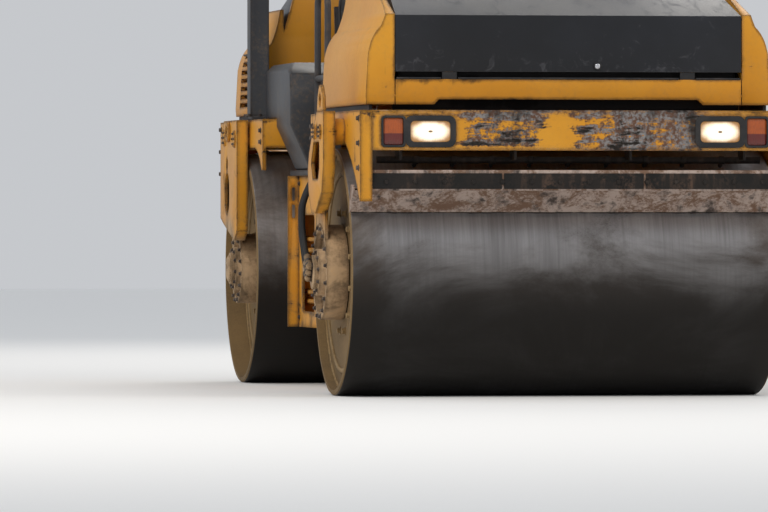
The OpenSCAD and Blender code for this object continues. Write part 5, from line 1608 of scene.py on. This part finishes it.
@dataclass
class HoodTrim:
    """Small pieces of an end's hood and lid: lock, seal, dark bars over the rails that stand for the shade
    there, buffers, bolts, grille, vents and exhaust bands.

    Places are given by x, the distance u outwards from the drum's axis, and the height.
    """

    end: End
    finishes: "Finishes"
    face: float = 0.645
    lid_low: float = 1.590
    lock_x: float = 0.142
    stop_x: float = 0.59
    strip_top: float = 1.5565
    hinge_x: float = 0.557
    hinge_top: float = 2.108
    slot_centres: Tuple[float, float, float] = (-0.48, 0.0, 0.48)
    slot_half: float = 0.215
    mesh_pitch: float = 0.0125
    louvre_pitch: float = 0.044
    silencer: Tuple[float, float] = (0.52, -0.267)

    def build(self) -> None:
        """Adds what both hoods have, and the grille, the vents and the exhaust's bands on the rear one."""
        self._lock()
        self._seal()
        self._gap_shade_bars()
        self._stops()
        self._hinge_bolts()
        if self.end is End.REAR:
            self._grille()
            self._vents()
            self._exhaust()

    @property
    def lid(self) -> str:
        """Body of the lid."""
        return self.end.label + "_lid"

    def _add(self, piece: bpy.types.Object, finish: bpy.types.Material, slot: str) -> None:
        """Puts a piece on the end's body."""
        ride_as(piece, self.end.body, finish)

    def _lock(self) -> None:
        """A round key lock at the lid's lower edge: collar and barrel, from (distance out, radius)."""
        collar = ((-0.004, 0.021), (0.004, 0.021), (0.006, 0.019), (0.0065, 0.0155), (0.003, 0.0145),
                  (-0.004, 0.0145))
        barrel = ((-0.004, 0.0135), (0.003, 0.0135), (0.0045, 0.0125), (0.0045, 0.003), (0.0035, 0.001),
                  (-0.004, 0.001))
        centre = self.end.at(self.lock_x, self.face, self.lid_low + 0.028)
        for word, profile, finish in (("collar", collar, self.finishes.rubber),
                                      ("barrel", barrel, self.finishes.chrome)):
            outline = [(self.end.sense * out, radius) for out, radius in profile]
            piece = turned("%s_lock_%s" % (self.end.label, word), outline, centre, "y", 40)
            ride_as(piece, self.lid, finish)

    def _seal(self) -> None:
        """Rubber bulb along the strip's top edge, left open at the lid's stops."""
        u, z = self.face - 0.004, self.strip_top
        parts = []
        for start, stop in ((-0.852, -0.632), (-0.548, 0.548), (0.632, 0.852)):
            parts.append(swept_arrays(self.end.place(straight((start, -u, z), (stop, -u, z), 24)),
                                      circle(0.0062, 10), Z))
        self._add(joined(self.end.label + "_hood_seal", parts), self.finishes.rubber, "rubber")

    def _gap_shade_bars(self) -> None:
        """Rubber bars that close the gap between the fairings and the frame's rails; they are painted shade, a
        dark fill that stands for the shade in that gap.
        """
        back, front = (-0.74 if self.end is End.FRONT else -0.165), 0.63
        x, half, low, high = 0.978, 0.008, 1.4004, 1.4296
        # painted shade: dark bars in the gap over the rails
        bars = [block_arrays(self.end.at(sign * x - half, back, low),
                             self.end.at(sign * x + half, front, high))
                for sign in SIDES]
        self._add(bevelled(joined(self.end.label + "_gap_shade_bars", bars), 0.002), self.finishes.rubber,
                  "rubber")

    def _stops(self) -> None:
        """Rubber buffers over the two stops that the lid rests on."""
        half, inner, outer, low, high = 0.0365, self.face - 0.0135, self.face - 0.003, 1.5520, 1.5897
        pads = [block_arrays(self.end.at(x - half, inner, low), self.end.at(x + half, outer, high))
                for x in (-self.stop_x, self.stop_x)]
        self._add(bevelled(joined(self.end.label + "_lid_buffers", pads), 0.002), self.finishes.rubber,
                  "rubber")

    def _hinge_bolts(self) -> None:
        """Four bolts through each hinge leaf on the lid."""
        hinge = -0.7225 if self.end is End.FRONT else -0.1475
        spots = [(x + dx, hinge + du, self.hinge_top) for x in (-self.hinge_x, self.hinge_x)
                 for dx in (-0.014, 0.014) for du in (0.040, 0.074)]
        heads = hex_heads(self.end.label + "_hinge_bolts", [self.end.at(*s) for s in spots], [Z],
                          across=0.013, height=0.008)
        ride_as(heads, self.lid, self.finishes.bolt)

    def _grille(self) -> None:
        """Woven wire and slanted blades behind the slots of the rear lid's face."""
        wire, low_z, high_z, u_up, u_across = circle(0.0010, 4), 1.618, 1.842, 0.636, 0.635
        wires, blades = [], []
        for centre in self.slot_centres:
            low, high = centre - self.slot_half, centre + self.slot_half
            for x in np.arange(low, high + 1e-6, self.mesh_pitch):
                wires.append(swept_arrays(straight((x, -u_up, low_z), (x, -u_up, high_z), 1), wire, X))
            for z in np.arange(low_z + 0.002, high_z, self.mesh_pitch):
                wires.append(swept_arrays(straight((low, -u_across, z), (high, -u_across, z), 1), wire, Z))
            for i in range(5):
                z = self.lid_low + 0.040 + i * self.louvre_pitch
                blades.append(prism_arrays(louvre(-0.634, -0.600, z + 0.028, z + 0.004, -0.003), low, high,
                                           "x"))
        mesh = joined(self.end.label + "_grille_wire", self.end.placed(wires))
        ride_as(mesh, self.lid, self.finishes.dark_steel)
        slats = joined(self.end.label + "_grille_blades", self.end.placed(blades), smooth=False)
        ride_as(slats, self.lid, self.finishes.rubber)

    def _vents(self) -> None:
        """Slanted blades inside the ventilation slots of the rear fairings."""
        outer, inner, first, front, back = 0.976, 0.952, 1.500, -0.545, 0.08
        blades = []
        for sign in SIDES:
            for i in range(7):
                z = first + i * self.louvre_pitch
                section = louvre(outer, inner, z - 0.001, z - 0.026, 0.003)
                blades.append(prism_arrays(section * (sign, 1.0), front, back, "y"))
        slats = joined(self.end.label + "_vent_blades", self.end.placed(blades), smooth=False)
        self._add(slats, self.finishes.rubber, "yellow_paint")

    def _exhaust(self) -> None:
        """Rolled seams at the silencer's ends, two straps round it and a clamp on its pipe."""
        centre = self.end.at(*self.silencer, 0.0)
        thick, body, pipe = 0.004, 0.0765, 0.0395
        rows = ((1.503, body, 0.006), (1.917, body, 0.006), (1.965, pipe, 0.020),
                (1.56, body + 0.0005, 0.022), (1.84, body + 0.0005, 0.022))
        for number, (z, radius, width) in enumerate(rows):
            low, high = z - width / 2, z + width / 2
            profile = ((low, radius - thick), (low, radius), (high, radius), (high, radius - thick))
            ring = turned("exhaust_band_%d" % number, profile, centre, "z", 56)
            self._add(bevelled(ring, 0.0012, 1), self.finishes.dark_steel, "rusty_steel")


def louvre(outer: float, inner: float, outer_z: float, inner_z: float, thick: float) -> np.ndarray:
    """Section of a slanted blade: a strip from the outer edge to the inner one, so thick in height."""
    return np.array([[outer, outer_z], [inner, inner_z], [inner, inner_z + thick], [outer, outer_z + thick]])


@dataclass
class Studio:
    """Plain floor, sky and lamps, and the camera at the photograph's viewing angle."""

    photo_width: int = 768
    pixels_per_metre: float = 201.6
    drum_pixel: Tuple[float, float] = (545.0, 272.0)
    centre_pixel: Tuple[float, float] = (384.0, 256.0)
    distance: float = 38.0
    yaw_degrees: float = 9.2
    camera_height: float = 0.85
    sensor: float = 36.0
    floor_half: float = 60.0
    sky_strength: float = 0.70
    sky: Colour = (0.90, 0.94, 1.0)
    seen_sky: Colour = (0.565, 0.58, 0.605)
    lamp_colour: Colour = (1.0, 0.95, 0.88)

    def build(self) -> None:
        """Makes the floor, the world, the lamps and the camera."""
        self._floor()
        self._world()
        self._lamps()
        self._camera()

    def _floor(self) -> None:
        """Pale plain floor; it is white to the camera and to reflections only through its colour."""
        g = Graph("studio_floor")
        g.surface(Base_Color=(0.84, 0.83, 0.81), Roughness=0.9, Specular_IOR_Level=0.1)
        half = self.floor_half
        corners = np.array([[-half, -half, 0], [half, -half, 0], [half, half, 0], [-half, half, 0]])
        floor = mesh_object("studio_floor", corners, [[0, 1, 2, 3]], smooth=False)
        dress(floor, g.material)

    def _world(self) -> None:
        """Even pale sky: a plain backdrop to the camera, soft bluish light to everything else."""
        world = bpy.data.worlds.new("studio_world")
        bpy.context.scene.world = world
        world.use_nodes = True
        nodes = Nodes(world.node_tree)
        path = nodes.node("ShaderNodeLightPath")
        seen = nodes.node("ShaderNodeBackground", {}, {"Color": rgba(self.seen_sky)})
        light = nodes.node("ShaderNodeBackground", {},
                           {"Color": rgba(self.sky), "Strength": self.sky_strength})
        blend = nodes.node("ShaderNodeMixShader", {}, {
            0: path.outputs["Is Camera Ray"], 1: light.outputs[0], 2: seen.outputs[0]})
        nodes.node("ShaderNodeOutputWorld", {}, {0: blend.outputs[0]})

    def _lamps(self) -> None:
        """Three large soft lamps: (name, place, size, power)."""
        target = np.array([0.0, 0.0, 1.0])
        lamps = (("key", (-8.0, -9.0, 11.0), 7.0, 900.0), ("fill", (9.0, -8.0, 7.0), 7.0, 260.0),
                 ("back", (3.0, 11.0, 9.0), 6.0, 400.0))
        for name, place, size, power in lamps:
            data = bpy.data.lights.new("lamp_" + name, "AREA")
            data.shape = "DISK"
            data.size = size
            data.energy = power
            data.color = self.lamp_colour
            lamp = bpy.data.objects.new("lamp_" + name, data)
            lamp.location = place
            lamp.rotation_euler = self._look(target - np.array(place))
            bpy.context.scene.collection.objects.link(lamp)

    @staticmethod
    def _look(direction: np.ndarray) -> Tuple[float, float, float]:
        """Euler angles that turn -Z to a direction with +Y upwards."""
        x, y, z = direction / np.linalg.norm(direction)
        return (math.acos(-z), 0.0, -math.atan2(x, y))

    def _camera(self) -> None:
        """Long lens from far away, level with the drums, with the front drum's centre at its pixel."""
        yaw = math.radians(self.yaw_degrees)
        ahead = np.array([math.sin(yaw), math.cos(yaw), 0.0])
        right = np.array([math.cos(yaw), -math.sin(yaw), 0.0])
        drum = np.array([0.0, -WHEELBASE / 2, DRUM_RADIUS])
        off_x = (self.drum_pixel[0] - self.centre_pixel[0]) / self.pixels_per_metre
        off_z = (self.drum_pixel[1] - self.centre_pixel[1]) / self.pixels_per_metre
        aim = drum - right * off_x + np.array(Z) * off_z
        eye = aim - ahead * self.distance
        eye[2] = self.camera_height
        data = bpy.data.cameras.new("camera")
        data.sensor_width = self.sensor
        data.lens = self.sensor * self.pixels_per_metre * self.distance / self.photo_width
        data.clip_end = 400.0
        camera = bpy.data.objects.new("camera", data)
        camera.location = eye
        camera.rotation_euler = self._look(aim - eye)
        bpy.context.scene.collection.objects.link(camera)
        bpy.context.scene.camera = camera


class Finishes:
    """Every material of the machine, made once."""

    mustard: Colour = (0.56, 0.235, 0.012)
    sunned: Colour = (0.62, 0.285, 0.022)
    tar: Colour = (0.012, 0.010, 0.009)
    lamp_glow: Colour = (1.0, 0.84, 0.62)
    panel_zones: Tuple[Zone, ...] = (Zone(-0.82, -0.42, 1.53, 1.56, 0.55),
                                     Zone(-0.60, -0.13, 1.42, 1.455, 0.6),
                                     Zone(-0.93, -0.88, 1.50, 1.66, 0.38))
    beam_zones: Tuple[Zone, ...] = (Zone(-0.56, -0.16, 1.23, 1.38, 0.56), Zone(0.01, 0.61, 1.21, 1.38, 0.72),
                                    Zone(-0.60, 0.66, 1.375, 1.41, 0.40))

    def __init__(self) -> None:
        """Makes the paints, the steels, the soft blacks and the lamps' lenses."""
        self._paints()
        self._steels()
        self.lid = MouldedBlack("lid_black").build()
        self.rubber = SoftBlack("rubber").build()
        self.hose = SoftBlack("hose", colour=(0.006, 0.006, 0.0065), dusty=(0.07, 0.055, 0.04), grain=300.0,
                              dust=0.3).build()
        self.vinyl = SoftBlack("vinyl", grain=420.0, roughness=0.48, dust=0.2).build()
        self.dial = MouldedBlack("dial_face", colour=(0.01, 0.01, 0.012), roughness=0.12, dust=0.1).build()
        self.headlamp = Lens("headlamp_lens", self.lamp_glow, self.lamp_glow, glow=0.75).build()
        self.marker = Lens("marker_lens", (0.36, 0.075, 0.013), (0.115, 0.018, 0.013), split_z=1.287).build()

    def _paints(self) -> None:
        """Yellow for panels, frames and beams, grey for the station, and dull grey for castings."""
        self.yellow = WornPaint("yellow_panel", self.mustard, self.sunned, wear=0.22, grime=0.35, dust=0.3,
                                zones=self.panel_zones, scratch=0.6, smear=1.5, gap_shade_and_exhaust=True).build()
        self.frame_yellow = WornPaint("yellow_frame", self.mustard, self.sunned, wear=0.72, grime=0.85,
                                      dust=0.5, hubs=True).build()
        self.beam_yellow = WornPaint("yellow_beam", self.mustard, self.sunned, wear=0.74, grime=0.55,
                                     dust=0.2, metal=(0.27, 0.26, 0.255), zones=self.beam_zones).build()
        self.grey = WornPaint("grey_paint", (0.030, 0.032, 0.037), (0.055, 0.057, 0.062), wear=0.25,
                              grime=0.3,
                              dust=0.4, rust=(0.10, 0.08, 0.07), dust_colour=(0.115, 0.105, 0.09)).build()
        self.cast = WornPaint("cast_grey", (0.10, 0.095, 0.09), (0.15, 0.14, 0.13), wear=0.3, grime=0.7,
                              dust=0.5, roughness=0.6).build()

    def _steels(self) -> None:
        """Bare steels, from the scraper's rust to the drums' polish and the rods' chrome."""
        self.rust = DirtySteel("scraper_steel", rust=(0.17, 0.10, 0.065), pale=(0.42, 0.33, 0.28),
                               dark_share=0.5).build()
        self.dark_steel = DirtySteel("dark_steel", rust=(0.020, 0.016, 0.013), pale=(0.055, 0.042, 0.034),
                                     dark_share=0.9, dark=self.tar).build()
        self.band = DirtySteel("scraper_band", rust=(0.010, 0.009, 0.008), pale=(0.085, 0.052, 0.036),
                               dark_share=0.95, dark=(0.010, 0.009, 0.008)).build()
        self.bolt = DirtySteel("bolt_steel", rust=(0.05, 0.038, 0.03), pale=(0.12, 0.095, 0.08),
                               dark_share=0.6, roughness=0.5).build()
        self.fitting = DirtySteel("fitting_steel", rust=(0.045, 0.035, 0.028), pale=(0.11, 0.085, 0.065),
                                  dark_share=0.7, roughness=0.5).build()
        self.disc_steel = DirtySteel("disc_steel", rust=(0.23, 0.145, 0.06), pale=(0.30, 0.205, 0.10),
                                     dark_share=0.3).build()
        self.drums = {end: DrumSteel(end.label + "_drum_steel", end.sense * WHEELBASE / 2).build()
                      for end in End}
        self.chrome = self._chrome()

    @staticmethod
    def _chrome() -> bpy.types.Material:
        """Chromed rod with a film of oily dust."""
        g = Graph("chrome")
        patch = g.noise(20.0, 4.0, 0.6)
        colour = g.mix(patch.ramp(0.45, 0.8) * 0.6, (0.62, 0.62, 0.64), (0.16, 0.13, 0.11))
        return g.surface(Base_Color=colour, Metallic=1.0, Roughness=0.14 + patch * 0.25)


class Roller:
    """The whole machine: dresses every CAD node and adds the small pieces."""

    rounded_at_ends: Tuple[Tuple[str, float, str], ...] = (
        ("hood", 0.004, "yellow_paint"), ("lid", 0.014, "lid_black"), ("frame", 0.004, "yellow_paint"),
        ("bumper", 0.005, "yellow_paint"), ("left_arm", 0.003, "yellow_paint"),
        ("right_arm", 0.003, "yellow_paint"), ("lift_eyes", 0.003, "yellow_paint"),
        ("scraper", 0.003, "rusty_steel"), ("lamp_frames", 0.003, "black_paint"))
    rounded_in_middle: Tuple[Tuple[str, float, str], ...] = (
        ("side_cabinets", 0.012, "black_paint"), ("roof", 0.006, "black_paint"),
        ("roll_posts", 0.006, "black_paint"), ("step_boxes", 0.004, "yellow_paint"),
        ("operator_deck", 0.003, "black_paint"), ("steering_column", 0.006, "black_paint"))

    def __init__(self, finishes: Finishes) -> None:
        """Keeps the finishes."""
        self.finishes = finishes

    def build(self) -> None:
        """Dresses each CAD node, rounds the visible ones and adds the trims of both ends and the station."""
        for end in End:
            Plumbing(end, self.finishes).build()
        self._dress()
        self._round()
        for end in End:
            for trim in (DrumTrim, ArmTrim, BumperTrim, HoodTrim):
                trim(end, self.finishes).build()
        Station(self.finishes).build()

    def _dress(self) -> None:
        """Gives each CAD node the finish of the first word in its name, or grey, and drums their own."""
        f = self.finishes
        by_word: Tuple[Tuple[str, bpy.types.Material], ...] = (
            ("hood", f.yellow), ("bumper", f.beam_yellow), ("lamp_frames", f.rubber),
            ("headlamps", f.headlamp), ("markers", f.marker), ("scraper", f.rust), ("spray", f.dark_steel),
            ("lid", f.lid), ("frame", f.frame_yellow), ("arm", f.frame_yellow), ("eyes", f.frame_yellow),
            ("step_boxes", f.frame_yellow), ("link", f.cast), ("rod", f.chrome), ("tank", f.rubber),
            ("engine", f.cast), ("seat_base", f.grey), ("seat", f.vinyl), ("wheel", f.rubber),
            ("hoses", f.hose))
        for name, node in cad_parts.items():
            dress(node, next((material for word, material in by_word if word in name), f.grey))
        for end in End:
            dress(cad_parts[end.label + "_drum"], f.drums[end])

    def _round(self) -> None:
        """Puts a copy with rounded edges in place of each node whose edges are seen."""
        for end in End:
            for word, width, slot in self.rounded_at_ends:
                body = end.label + "_lid" if word == "lid" else end.body
                self._swap("%s_%s" % (end.label, word), width, body, slot)
        for name, width, slot in self.rounded_in_middle:
            self._swap(name, width, "rear_half", slot)

    @staticmethod
    def _swap(node: str, width: float, body: str, slot: str) -> None:
        """Dresses a rounded copy as the node was and puts it on the node's body."""
        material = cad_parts[node].data.materials[0]
        ride_as(softened(node, width), body, material)


def main() -> None:
    """Builds the studio, then the machine, which reports each piece."""
    logging.basicConfig(level=logging.INFO, format="%(message)s")
    bpy.context.scene.view_settings.view_transform = "Standard"
    Studio().build()
    Roller(Finishes()).build()


if __name__ == "__main__":
    main()
